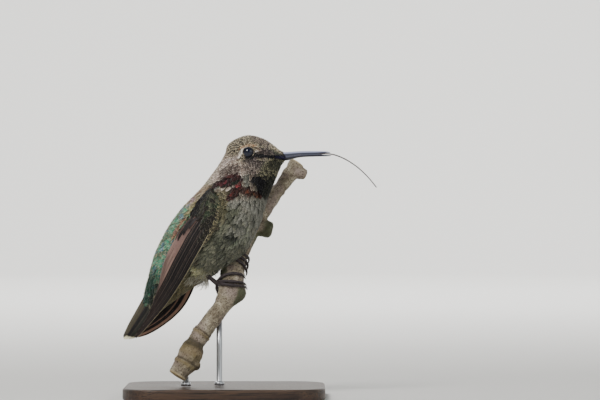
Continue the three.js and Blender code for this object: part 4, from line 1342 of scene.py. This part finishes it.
def eye_rings(side):
    """Circles round the sideways axis, closed with a point-like ring at each pole."""
    bend = np.linspace(0.02, np.pi - 0.02, BALL_RINGS)
    line = eye_centre(side) + np.cos(bend)[:, None] * np.array([EYE["radius"], 0, 0])
    turn = full_turn(BALL_SIDES)
    way = np.stack([np.zeros(BALL_SIDES), np.cos(turn), np.sin(turn)], -1)
    return line[:, None] + way[None] * (EYE["radius"] * np.sin(bend))[:, None, None]


def lid_rings(side):
    """A slim roll carried round the eye's opening, a little thicker above, its ends pulled into corners."""
    turn = full_turn(LID_POINTS)
    reach = EYE_OPENING * (1 + 0.07 * np.cos(2 * turn))
    y = EYE["y"] + reach * np.cos(turn + LID_TILT)
    z = EYE["z"] + reach * np.sin(turn + LID_TILT) * 0.97
    depth = np.sqrt(EYE["radius"] ** 2 - np.minimum(reach, 2) ** 2)
    x = side * (EYE["out"] + depth + 0.02)
    middle = np.stack([x, y, z], -1)
    outwards = unit(middle - eye_centre(side))
    along = unit(np.roll(middle, -1, 0) - np.roll(middle, 1, 0))
    second = np.cross(along, outwards)
    roll = full_turn(LID_SIDES)[None, :, None]
    thick = 0.13 + 0.04 * np.sin(turn + LID_TILT)
    way = outwards[:, None] * np.cos(roll) + second[:, None] * np.sin(roll) * 1.3
    return middle[:, None] + way * thick[:, None, None]


def ring_shape(grid):
    """A tube closed on itself both ways, its faces turned outwards."""
    rows, columns = grid.shape[:2]
    row, column = np.meshgrid(np.arange(rows), np.arange(columns), indexing="ij")
    after_row, after = (row + 1) % rows, (column + 1) % columns
    faces = np.stack([row * columns + column, row * columns + after,
                      after_row * columns + after, after_row * columns + column], -1).reshape(-1, 4)
    flat = grid.reshape(-1, 3)
    return flat, faces_out(flat, [faces])


# The ball's dark blue is a painted sheen over black.
eye_glass = grained("eye_ball", (700, 2), "03050b", "0d1630", 0.14, 0.05,
                    Specular_IOR_Level=0.25, Coat_Weight=0.7, Coat_Roughness=0.04, IOR=1.35)
lid_skin = grained("eye_lid", (3800, 3, 0.7), "0e0c0b", "2a2523", 0.55, 0.2, 0.00004, Specular_IOR_Level=0.35)
for side, side_name in ((1, "left"), (-1, "right")):
    eye = ring_piece(f"eyeball_{side_name}", [eye_rings(side)], eye_glass)
    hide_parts(f"eye_{side_name}")
    lid = mesh_piece(f"eyelid_{side_name}", *ring_shape(lid_rings(side)), lid_skin)


# ------------------------------------------------------------------ bill and tongue
# The bill is straight, slim and hard: an upper half with a rounded ridge and a lower half that fits
# under it, of black horn with a painted blue-grey reflection above. A thin painted highlight shows
# where the halves meet.
# The tongue, a thin forked thread, runs out between them and curves down.

# Stations along each half: place (y), outer line, cutting edge (heights) and half width.
UPPER_BILL = np.array([[-16.6, 83.3, 81.8, 1.45], [-20.4, 83.32, 81.99, 1.22], [-25.5, 83.62, 82.44, 0.92],
                       [-30.6, 83.64, 82.68, 0.7], [-34.0, 83.6, 83.0, 0.52], [-35.8, 83.3, 83.0, 0.28]])
LOWER_BILL = np.array([[-16.6, 80.6, 81.76, 1.4], [-20.4, 80.35, 81.96, 1.18], [-25.5, 81.46, 82.41, 0.88],
                       [-30.6, 81.72, 82.62, 0.66], [-34.0, 81.82, 82.36, 0.5], [-36.1, 81.94, 82.2, 0.28]])
TONGUE_PATH = np.array([[-28.0, 82.55], [-31.4, 82.68], [-34.2, 82.74], [-37.4, 82.3], [-41.2, 80.7],
                        [-45.1, 78.1], [-48.6, 74.8], [-51.5, 71.3]])


def bill_rings(upper):
    """Half ovals through the stations, flat where the halves meet, with a groove above the cutting edge
    and a rounded tip: x is the half width times the cosine of the turn, the height its sine."""
    rounding = np.sin(np.linspace(0.15, 1, 9) * np.pi / 2)
    share = np.concatenate([np.linspace(0, 0.97, 70), 0.97 + 0.03 * rounding])
    y, outer, edge, half = through(UPPER_BILL if upper else LOWER_BILL, share * 5, True).T
    blunt = np.sqrt(np.clip(1 - ((share - 0.97) / 0.0315).clip(0) ** 2, 0.03, 1))
    turn = np.concatenate([np.linspace(0, np.pi, 25), np.linspace(np.pi, 2 * np.pi, 9)[1:-1]])
    curve = np.where(turn <= np.pi, np.abs(np.sin(turn)) ** (0.85 if upper else 1.0), 0)
    groove = 0.07 * bell(np.sin(turn) * (turn <= np.pi), 0.42, 0.14) * (0.3 + 0.7 * (1 - share[:, None]))
    x = ((half * blunt)[:, None] - groove) * np.cos(turn)
    z = edge[:, None] + ((outer - edge) * blunt)[:, None] * curve
    return np.stack([x, np.broadcast_to(y[:, None], x.shape), z], -1)


def bill_finish():
    """Black horn, finely streaked, with a painted blue-grey reflection beside the ridge and a painted
    highlight along the cutting edge.
    """
    horn = Finish("bill_horn", Specular_IOR_Level=0.4, Coat_Weight=0.3, Coat_Roughness=0.2)
    streaks = horn.noise(horn.place((1, 0.12, 1)), 3200, 4, 0.6)
    # ridge carries a painted blue-grey reflection, edge a painted highlight along the cutting edge.
    ridge = horn.attribute("ridge", 2)
    colour = horn.blend(streaks, shade("070812"), shade("12142a"))
    colour = horn.blend(ridge, colour, shade("b2b8d8"))
    colour = horn.blend(horn.attribute("edge", 2), colour, shade("565a68"))
    return horn.finish(colour, 0.26 + streaks * 0.16, streaks, 0.00003, 0.3)


bill_horn = bill_finish()
for upper, bill_name in ((True, "bill_upper"), (False, "bill_lower")):
    rings = bill_rings(upper)
    bill = ring_piece(bill_name.replace("bill", "mandible"), [rings], bill_horn)
    up = np.abs(rings[..., 2] - rings[:, :1, 2])
    share = (up / np.maximum(up.max(1, keepdims=True), 0.05)).ravel()
    # Painted reflection in a band beside the upper half's ridge; painted highlights along both cutting edges
    # and on the lower half's upper side.
    if upper:
        band = ease(share, 0.42, 0.7) * (1 - 0.72 * ease(share, 0.9, 1.0))
        paint_points(bill, ridge=0.1 + band * 0.9, edge=bell(share, 0.0, 0.1) * 0.3)
    else:
        paint_points(bill, ridge=bell(share, 0.2, 0.16) * 0.22, edge=bell(share, 0.0, 0.1) * 0.25)
    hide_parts(bill_name)


TONGUE_RADIUS = 0.25


def tongue_rings(side):
    """A tube along the tongue's path: both halves lie together and part slightly towards the tip."""
    place = np.linspace(0, len(TONGUE_PATH) - 1, 90)
    yz = through(TONGUE_PATH, place, True)
    share = place / place[-1]
    x = side * (0.07 + 0.5 * np.maximum(0, share - 0.85))
    line = np.concatenate([x[:, None], yz], 1)
    return close_ends(tube(line, TONGUE_RADIUS - 0.08 * share ** 2, 12))


tongue_skin = grained("tongue_skin", (2500, 2), "3a3436", "6a6062", 0.3, 0.2,
                      Specular_IOR_Level=0.5, Coat_Weight=0.5, Coat_Roughness=0.1)
tongue = ring_piece("tongue_thread", [tongue_rings(-1), tongue_rings(1)], tongue_skin)
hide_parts("tongue")


# ------------------------------------------------------------------ flight feathers
# Ten long narrow primaries fold over one another in each wing, each nearer the body lying over the next;
# short secondaries and rounded tertials cover their bases. Each is a thin stiff vane on a strong shaft:
# blackish with a fine pale edge, browner on the inner ones that show their whole width.

def wing_shape(side):
    """The outer face on which a wing's long feathers lie, as a function of its two parameters."""
    def shape(t, across):
        point = wing_sheet(t, across, side)
        point[..., 0] += side * wing_thickness(t, across) * 0.32
        return point
    return shape


def wing_width(t, side=-1):
    """From the upper to the leading edge, in millimetres."""
    t = np.asarray(t, float)
    leading, upper = wing_sheet(t, np.ones_like(t), side), wing_sheet(t, np.zeros_like(t), side)
    return np.linalg.norm(leading - upper, axis=-1)


WING_PLACES = np.arange(-0.2, WING_END + 0.21, 0.02), np.linspace(-0.25, 1.2, 120)
WINGS = {side: Sheet(wing_shape(side), *WING_PLACES, side > 0) for side in (-1, 1)}
LONG_VANE_THICKNESS = 0.07
LONG_VANE_COLUMNS = 8


def long_vane(side, t_root, t_tip, edge_at, width_at, level, tilt, rows=30, point=0.5, sink=0.7):
    """One flight feather on a wing, as the points of its upper and under sheets, the share of the way
    along each row and the side of each column. Its leading edge lies edge_at(t) millimetres in from the
    wing's, it is width_at(share) wide, its leading side is raised by tilt, and it is rounded off from
    point to its tip. Its base is sunk under the coverts."""
    share = 1 - (1 - np.linspace(0, 1, rows + 1)) ** 1.5
    t = t_root + (t_tip - t_root) * share
    sheet, full = WINGS[side], wing_width(t, side)
    round_off = np.sqrt(np.clip(1 - ((share - point) / (1.01 - point)).clip(0) ** 2.4, 0.004, 1))
    lead = edge_at(t)
    wide = np.minimum(width_at(share), np.maximum(full - lead + 0.25, 0.3)) * round_off
    lead = lead + (1 - round_off) * wide * 0.2
    b = np.linspace(1, -1, LONG_VANE_COLUMNS + 1)
    from_lead = lead[:, None] + wide[:, None] * (1 - b) / 2
    across = 1 - from_lead / full[:, None]
    sunk = sink * (1 - ease(t, 1.6, 2.4))[:, None]
    height = level + tilt * b + 0.02 * wide[:, None] * (1 - b ** 2) - sunk
    t_grid = np.broadcast_to(t[:, None], across.shape)
    middle = sheet.read(sheet.points, t_grid, across)
    out = sheet.read(sheet.out, t_grid, across)
    top = middle + out * height[..., None]
    under = middle + out * (height - LONG_VANE_THICKNESS * (1 - 0.8 * b ** 2))[..., None]
    return np.stack([top, under]), share, b


def vane_solid(pair):
    """Points and faces of a closed vane from its upper and under sheets: both grids and a rim."""
    rows, columns = pair.shape[1:3]
    top = grid_faces(rows, columns)
    under = top[:, ::-1] + rows * columns
    rim = np.concatenate([
        np.arange(columns - 1), (np.arange(rows - 1) + 1) * columns - 1,
        (rows - 1) * columns + np.arange(columns - 1, 0, -1), np.arange(rows - 1, 0, -1) * columns,
    ])
    after = np.roll(rim, -1)
    side = np.stack([after, rim, rim + rows * columns, after + rows * columns], -1)
    points = pair.reshape(-1, 3)
    return points, faces_out(points, [top, under, side])


def flight_feather(vane, place, luck, dark, pale, fringe_start, glint=0.1, band=0.0):
    """A long vane with its place on the baking map and its looks, each a number or worked out from the
    share of the way along."""
    pair, share, b = vane
    return {"pair": pair, "share": share, "b": b, "place": place, "luck": luck % 1, "dark": dark,
            "pale": pale, "fringe_start": fringe_start, "glint": glint, "band": band}


def feather_piece(name, vanes, finish):
    """Joins closed flight feathers into one piece with both maps and the colours at every point."""
    points, groups, own, patch, offset = [], [], [], [], 0
    layers = {key: [] for key in ("dark", "pale", "glint", "luck", "fringe_start", "band")}
    for vane in vanes:
        pair = vane["pair"]
        flat, faces = vane_solid(pair)
        a, b = np.meshgrid(vane["share"], (vane["b"] + 1) / 2, indexing="ij")
        own.append(np.tile(np.stack([b, a], -1).reshape(-1, 2), (2, 1)))
        patch.append(on_baking_map(np.array(vane["place"]), own[-1]))
        points.append(flat)
        groups += [f + offset for f in faces]
        along = np.tile(a.ravel(), 2)
        for key, values in layers.items():
            value = vane[key]
            values.append(value(along) if callable(value) else np.full(len(flat), float(value)))
        offset += len(flat)
    piece = mesh_piece(name, np.concatenate(points), groups, finish)
    lay_maps(piece, groups, np.concatenate(own), np.concatenate(patch))
    paint_points(piece, **{key: np.concatenate(values) for key, values in layers.items()})
    return piece


def from_to(first, last, low=0.0, high=1.0):
    """A colour along a feather: the first up to low, the last past high, blended evenly between."""
    return lambda share: between(shade(first), shade(last), ease(share, low, high))


def flight_shade(name):
    """Stiff vanes: long slanting barbs on both sides of a pale-brown shaft, a fine worn pale edge, a
    faint gloss, and on the outermost feathers a pinkish band beside the shaft, partly a painted sheen."""
    vane = Finish(name, Specular_IOR_Level=0.28)
    across, along = on_vane(vane)
    side = vane.math("ABSOLUTE", across * 2 - 1.16)
    luck = vane.attribute("luck", 2)
    barbs = barb_noise(vane, (along * 3 - side * 0.3) * 30, side * 0.6, luck, 3)
    edge = vane.step(vane.math("ABSOLUTE", across * 2 - 1), vane.attribute("fringe_start", 2), 1.0)
    colour = vane.blend(edge, vane.attribute("dark"), vane.attribute("pale"))
    colour = vane.blend(vane.step(side, 0.02, 0.09, 0.7, 0.0), colour, shade("3a2f2a"))
    # The pinkish band, partly a painted sheen, strongest on the feather's underside.
    band = vane.step(vane.math("ABSOLUTE", across - 0.62), 0.21, 0.14) * vane.attribute("band", 2)
    colour = vane.blend(band, colour, shade("a07d6c"))
    colour = vane.dimmed(colour, 0.6 + barbs * 0.7 + luck * 0.12)
    return vane.finish(colour, 0.62 + barbs * 0.12 - vane.attribute("glint", 2) * 0.2, barbs, 0.00005, 0.45)


PRIMARIES = 10
PRIMARY_STEP = 1.15
PRIMARY_WIDTH = 3.2
# How strong the pinkish band, partly a painted sheen, is half way along and near the tip of each of the
# left wing's last primaries.
PINK_SHEEN_BANDS = {10: (0.95, 0.95), 9: (0.4, 0.95), 8: (0.15, 0.8), 7: (0.0, 0.5)}
WING_SLOT = "flight_feathers"


def band_along(low, high):
    """A band that strengthens from low to high over the outer half of the feather, and is faint on its
    upper face, whose points come first."""
    def strength(share):
        on_top = np.arange(len(share)) < len(share) // 2
        return (low + (high - low) * ease(share, 0.45, 0.85)) * np.where(on_top, 0.3, 1.0)
    return strength


def primaries(side):
    """The primaries, innermost first. Each has its leading edge about one step further in from the
    wing's than the next, drawn together where the wing is narrow and fanned out on the left, and ends
    where the wing is no wider than that."""
    t = np.linspace(1.2, WING_END, 600)
    fullest = wing_width(3.0)
    made = []
    for k in range(1, PRIMARIES + 1):
        steps = PRIMARIES - k
        inset = (steps + 0.22 * np.sin(steps * 2.4)) * PRIMARY_STEP

        def edge_at(t, inset=inset):
            fan = 1 + (wing_width(t, side) - wing_width(t)) / fullest * 1.6
            return inset * np.minimum(1, wing_width(np.minimum(t, 3)) / fullest) * fan

        fits = t[edge_at(t) <= wing_width(t, side) - 0.35]
        vane = long_vane(
            side, 1.0 + 0.06 * k, fits.max() if k < PRIMARIES else WING_END - 0.02, edge_at,
            lambda share: PRIMARY_WIDTH * (1 - 0.2 * share) * (1.25 if side > 0 else 1.0), 0.02, 0.2,
            point=0.8 + 0.012 * k,
        )
        base = ("8a7067", "5d4a43") if k < 4 else ("0d0a0b", "251c1a")
        fringe = ("85746f", "7b6c63") if k % 3 else ("574b48", "4b403c")
        band = band_along(*PINK_SHEEN_BANDS.get(k, (0.0, 0.0))) if side > 0 else 0.0
        made.append(flight_feather(vane, [0.05 + 0.09 * k, 0.1], k * 0.37, from_to(*base, 0.7, 1.0),
                                   from_to(*fringe), 0.87, band=band))
    return made


# Tertials and scapulars, longest and lowest first: tip place, leading edge as a share of the wing's width,
# width, middle and edge colours.
TERTIALS = [(3.0, 0.92, 1.5, "46332f", "8d6a55"), (3.05, 0.81, 1.7, "060505", "2c2421"),
            (2.8, 0.74, 1.5, "120e0f", "4a3c39"), (2.5, 0.68, 1.6, "1f191b", "6a5a54"),
            (2.2, 0.84, 1.5, "0e0c0d", "4a4039"), (2.05, 0.6, 1.6, "1a1617", "625650"),
            (1.9, 0.74, 1.5, "110f10", "4d443e")]


def secondaries(side):
    """Six short secondaries over the primaries' bases, then narrow tertials along the upper edge."""
    made = []
    for k in range(6):
        inner = 0.76 + 0.035 * k
        vane = long_vane(
            side, 0.9, 3.85 - 0.2 * k, lambda t, inner=inner: wing_width(t) * inner * 0.92,
            lambda share: 2.7 * (1 - 0.1 * share), 0.24 + 0.03 * k, 0.14, rows=18, point=0.45,
        )
        made.append(flight_feather(vane, [0.1 + 0.12 * k, 0.4], k * 0.61, from_to("4e3c39", "866a63"),
                                   from_to("6f5c55", "9a837a"), 0.86))
    for k, (tip, lead, wide, middle, edge) in enumerate(TERTIALS):
        vane = long_vane(
            side, 0.75, tip, lambda t, lead=lead: wing_width(t) * lead, lambda share, wide=wide: wide,
            0.6 + 0.07 * k, 0.06, rows=22, point=0.4, sink=1.2,
        )
        made.append(flight_feather(vane, [0.1 + 0.12 * k, 0.6], k * 0.41, from_to(middle, middle),
                                   from_to(edge, edge), 0.72))
    return made


SHAFT_RADIUS = 0.1


def shafts(vanes, shift=1):
    """The stiff shaft of each feather: a thin tube in the vane, shifted by some columns towards its
    leading edge, that stands out on both faces."""
    parts = []
    for vane in vanes:
        column = vane["pair"].shape[2] // 2 - shift
        line = vane["pair"][:, :-1, column].mean(0)
        share = vane["share"][:-1]
        parts.append(close_ends(tube(line, SHAFT_RADIUS * (1 - 0.7 * share), 8, (0.2, 1.0, 0.1)), 1))
    return parts


def wing_core(side):
    """The wing's flesh and the roots of its feathers: a lens-shaped blade inside the outer feathers."""
    t = np.linspace(-0.1, 4.6, 70)
    turn = full_turn(40)
    grid_t, grid_turn = np.meshgrid(t, turn, indexing="ij")
    across = 0.5 + 0.46 * np.cos(grid_turn)
    point = wing_sheet(grid_t, across, side)
    thick = wing_thickness(grid_t, across) * 0.3 * np.minimum(1, (4.7 - grid_t) / 2)
    point[..., 0] += side * thick * np.sin(grid_turn)
    return close_ends(point, 3, 0.2)


def covert_sheet(side):
    """The wing's outer feathers' sheet again, read from the tip upwards, so that small feathers laid on
    it run down the wing with their faces outwards."""
    def shape(u, v):
        across = v if side > 0 else 1 - v
        point = wing_sheet(-u, across, side)
        edge = np.clip(1 - np.abs(across - 0.5) / 0.5, 0, 1)
        rise = np.interp(-u, [-0.3, 0.5, 2.4, 3.8], [1.25, 1.25, 1.1, 0.75]) * (0.5 + 0.5 * np.sqrt(edge))
        point[..., 0] += side * rise
        return point
    return Sheet(shape, np.arange(-4.4, 0.31, 0.03), np.linspace(-0.12, 1.12, 100))


COVERT_SPACING = 0.8
# A side's number is added to each of these to seed the coverts' sizes, ragged edges and luck.
COVERT_SEEDS = (40, 60, 70)


def covert_spacing(u, v, side):
    """Wider down the wing, and close along the leading edge, where the smallest coverts lie."""
    leading = v if side > 0 else 1 - v
    return COVERT_SPACING * (0.8 - 0.2 * u) * (1 - 0.5 * ease(leading, 0.86, 0.97))


def covert_colours(points, t, leading):
    """Dark middle, pale fringe and shine of coverts that show at these points: blackish, greener and
    lighter in patches near the shoulder, darkest along the upper edge, and with a pale rim along the
    leading edge."""
    green = ease(ripples(points, 3.0, 21), 0.0, 0.8) * (1 - ease(t, 1.2, 2.2)) * 0.8
    light = ease(ripples(points, 2.6, 22), 0.0, 0.7) * (1 - ease(t, 0.7, 1.6))
    upper = 1 - ease(leading, 0.12, 0.3)
    rim = ease(leading, 0.965, 0.99) * ease(t, 0.5, 1.0) * 0.9
    dark = between(shade("171512"), shade("22301f"), green)
    dark = between(between(dark, shade("3f4234"), light), shade("0d0b0b"), upper)
    pale = between(shade("544e41"), shade("5c664c"), green)
    pale = between(between(pale, shade("8f8f74"), light), shade("2c2622"), upper)
    return dark, between(pale, shade("c4b88f"), rim), 0.25 * green


def wing_coverts(side, side_name):
    """The small feathers over the bases of the long ones: down to a line that slants towards the tip
    along the leading edge."""
    size_seed, edge_seed, luck_seed = COVERT_SEEDS
    cover = covert_sheet(side)
    rng = np.random.default_rng(size_seed + side)
    u, v = scatter(cover, (-3.2, 0.1), (-0.08, 1.08), lambda u, v: covert_spacing(u, v, side), 5)
    leading = v if side > 0 else 1 - v
    kept = -u < 1.6 + 1.6 * ease(leading, 0.45, 1.0)
    u, v, leading = u[kept], v[kept], leading[kept]
    count, gap = len(u), covert_spacing(u, v, side)
    length = gap * 3.1 * rng.uniform(0.9, 1.1, count)
    points = leaves(cover, u, v, length, gap * 1.6, rng.normal(0, 0.12, count), np.full(count, 0.3),
                    0.08 * rng.uniform(-0.5, 1, count), edge_seed + side, cup=0.1)
    colours = covert_colours(points[:, SEEN_ROW, SEEN_COLUMN], -u, leading)
    root_place = np.stack([0.02 + 0.9 * (-u).clip(0) / 3.3, v.clip(0, 1)], -1)
    vane_piece(f"wing_coverts_{side_name}", points, root_place, *colours, np.full(count, 0.74),
               feather_finish, WING_SLOT, luck_seed + side)


flight_finish = flight_shade("flight_vane")
wing_flesh = grained("wing_core", (2400, 3), "1b1817", "39322d", 0.8, bump=0.00005, Specular_IOR_Level=0.2)
dark_shaft = grained("feather_shaft", (900, 2), "1d1614", "4a3a31", 0.5, Specular_IOR_Level=0.5)
pale_shaft = grained("outer_shaft", (900, 2), "8b7d62", "c9bd9a", 0.5, Specular_IOR_Level=0.4)
for side, side_name in ((-1, "right"), (1, "left")):
    *inner, outermost = primaries(side)
    short_feathers = secondaries(side)
    feather_piece(f"primaries_{side_name}", [*inner, outermost], flight_finish)
    feather_piece(f"secondaries_{side_name}", short_feathers, flight_finish)
    rods = ring_piece(f"wing_shafts_{side_name}", shafts(inner + short_feathers), dark_shaft)
    outer = ring_piece(f"outer_shaft_{side_name}", shafts([outermost], 4), pale_shaft)
    core = ring_piece(f"wing_core_{side_name}", [wing_core(side)], wing_flesh)
    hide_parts(f"wing_{side_name}")
    wing_coverts(side, side_name)


# ------------------------------------------------------------------ tail
# Ten short broad tail feathers close over one another like a low roof under the wing tips: the two
# middle pairs bronze-grey, the outer three darker with dull yellowish-white tips.

# Stations from root to tip: the ridge and the lower edges seen from the side (y, z), and the half width.
TAIL_RIDGE = np.array([[28.1, 33.0], [30.0, 29.6], [32.8, 24.6], [34.9, 19.9]])
TAIL_EDGE = np.array([[22.5, 28.6], [25.0, 25.8], [28.6, 21.9], [32.3, 19.6]])
TAIL_HALF = np.array([3.7, 4.4, 4.6, 3.6])
TAIL_END = 3
TAIL_ROWS, TAIL_COLUMNS = 22, 8
TAIL_WIDTH = 3.1
TAIL_BOW = 0.07
# Pairs of tail feathers outwards from the middle: how much shorter each is, and its colours at the base,
# tip and edge.
TAIL_PAIRS = [
    (0.26, "494436", "3a362a", "625b4a"), (0.16, "443f31", "302d22", "59533f"),
    (0.0, "0b0a09", "fbf4cc", "201d1a"), (0.04, "1d1f18", "fbf4d4", "3a3b31"),
    (0.12, "3b3a33", "ece4ba", "5d584b"),
]


def tail_sheet(u, v):
    """The tail's arch at u = -t: v is the turn from the left edge over the ridge to the right edge."""
    t = -u
    ridge, edge = through(TAIL_RIDGE, t), through(TAIL_EDGE, t)
    yz = edge + (ridge - edge) * np.sin(v)[..., None]
    x = through(TAIL_HALF, t) * np.cos(v)
    return np.concatenate([x[..., None], yz], -1)


TAIL = Sheet(tail_sheet, np.arange(-TAIL_END - 0.2, 0.61, 0.02),
             np.linspace(-0.25, np.pi + 0.25, 160), True)


def tail_vane(turn, t_tip, level):
    """One broad vane along the arch at a turn, rounded at the tip, thin and slightly bowed."""
    share = 1 - (1 - np.linspace(0, 1, TAIL_ROWS + 1)) ** 1.4
    u = 0.5 + (-t_tip - 0.5) * share
    b = np.linspace(1, -1, TAIL_COLUMNS + 1)
    round_off = np.sqrt(np.clip(1 - ((share - 0.78) / 0.225).clip(0) ** 2.2, 0.004, 1))
    width = TAIL_WIDTH * (0.7 + 0.3 * ease(share, 0, 0.5)) * round_off
    grid_u = np.broadcast_to(u[:, None], (len(u), len(b)))
    size = np.maximum(TAIL.read(TAIL.size_v, grid_u, np.full_like(grid_u, turn)), 1.5)
    v = turn + width[:, None] / 2 * b / size
    middle, out = TAIL.read(TAIL.points, grid_u, v), TAIL.read(TAIL.out, grid_u, v)
    height = level + TAIL_BOW * (1 - b ** 2)
    top = middle + out * height[..., None]
    under = middle + out * (height - LONG_VANE_THICKNESS * (1 - 0.7 * b ** 2))[..., None]
    return np.stack([top, under]), share, b


def tail_feathers():
    """Both feathers of each pair: each pair lies under the one before it."""
    made = []
    for k, (shorter, base, tip, edge) in enumerate(TAIL_PAIRS):
        for side in (1, -1):
            turn = np.pi / 2 - side * (k + 0.5) * np.pi / 10.5
            vane = tail_vane(turn, TAIL_END - shorter, 0.1 - 0.07 * k)
            made.append(flight_feather(vane, [0.5 + side * 0.09 * (k + 1), 0.5], k * 0.3 + side * 0.2,
                                       from_to(base, tip, 0.88, 0.93), from_to(edge, tip, 0.88, 0.93),
                                       0.86, glint=0.05))
    return made


rectrices = tail_feathers()
tail = feather_piece("tail_vanes", rectrices, flight_finish)
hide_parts("tail")
tail_rods = ring_piece("tail_shafts", shafts(rectrices), dark_shaft)


# ------------------------------------------------------------------ light, floor and camera
# A soft studio: a broad key light from above on the bird's right, a weaker fill from its front, a light
# from its left that picks out the edges and one on the wall, over a pale floor that curves up all round.

AIM = (0.0, 0.0, 0.055)
FLOOR_SIDES = 96
CAMERA_AT = (-1.2, -0.0255, 0.067)


def area_light(name, at, aim, size, power, colour):
    """A round lamp that faces the place it is aimed at."""
    data = bpy.data.lights.new(name, "AREA")
    data.shape, data.size, data.energy, data.color = "DISK", size, power, colour
    lamp = bpy.data.objects.new(name, data)
    lamp.location = at
    way = np.array(aim) - np.array(at)
    yaw = np.arctan2(-way[0], way[1])
    pitch = np.arctan2(np.hypot(way[0], way[1]), -way[2])
    lamp.rotation_euler = (pitch, 0, yaw)
    bpy.context.scene.collection.objects.link(lamp)


area_light("key", (-0.9, 0.5, 1.0), AIM, 0.5, 14, (1.0, 0.985, 0.96))
area_light("fill", (-0.7, -0.9, 0.5), AIM, 1.0, 3, (0.95, 0.98, 1.0))
area_light("rim", (0.55, 0.35, 0.9), AIM, 0.5, 5, (1.0, 1.0, 1.0))
area_light("backdrop", (0.9, -0.1, 1.6), (3.0, -0.1, 0.6), 1.2, 90, (1.0, 1.0, 1.0))

world = bpy.data.worlds.new("studio")
world.use_nodes = True
sky = world.node_tree.nodes["Background"].inputs
sky["Color"].default_value = (0.82, 0.86, 0.9, 1)
sky["Strength"].default_value = 0.33
bpy.context.scene.world = world


def floor_rings():
    """Flat out to 2 m, then a quarter circle of 1 m up into a wall 2.6 m high."""
    bend = np.linspace(0, np.pi / 2, 24)
    radius = np.concatenate([[1, 40, 200, 900], 2000 + 1000 * np.sin(bend), [3000]])
    height = np.concatenate([[0, 0, 0, 0], 1000 - 1000 * np.cos(bend), [2600]])
    turn = full_turn(FLOOR_SIDES)
    x, y = radius[:, None] * np.cos(turn), radius[:, None] * np.sin(turn)
    return level_rings(x, y, height)


rings = floor_rings()
middle_face = np.arange(FLOOR_SIDES)[None]
floor_faces = [middle_face, grid_faces(len(rings), FLOOR_SIDES, True)]
paper = grained("studio_floor", (1.5, 2), "d9d8d4", "dfdedb", 0.9, Specular_IOR_Level=0.2)
floor = mesh_object("studio_floor", rings.reshape(-1, 3), floor_faces, paper)

camera_data = bpy.data.cameras.new("camera")
camera_data.lens = 211.8
camera_data.sensor_width = 36
camera = bpy.data.objects.new("camera", camera_data)
camera.location = CAMERA_AT
camera.rotation_euler = (np.radians(90), 0, np.radians(-90))
bpy.context.scene.collection.objects.link(camera)
bpy.context.scene.camera = camera
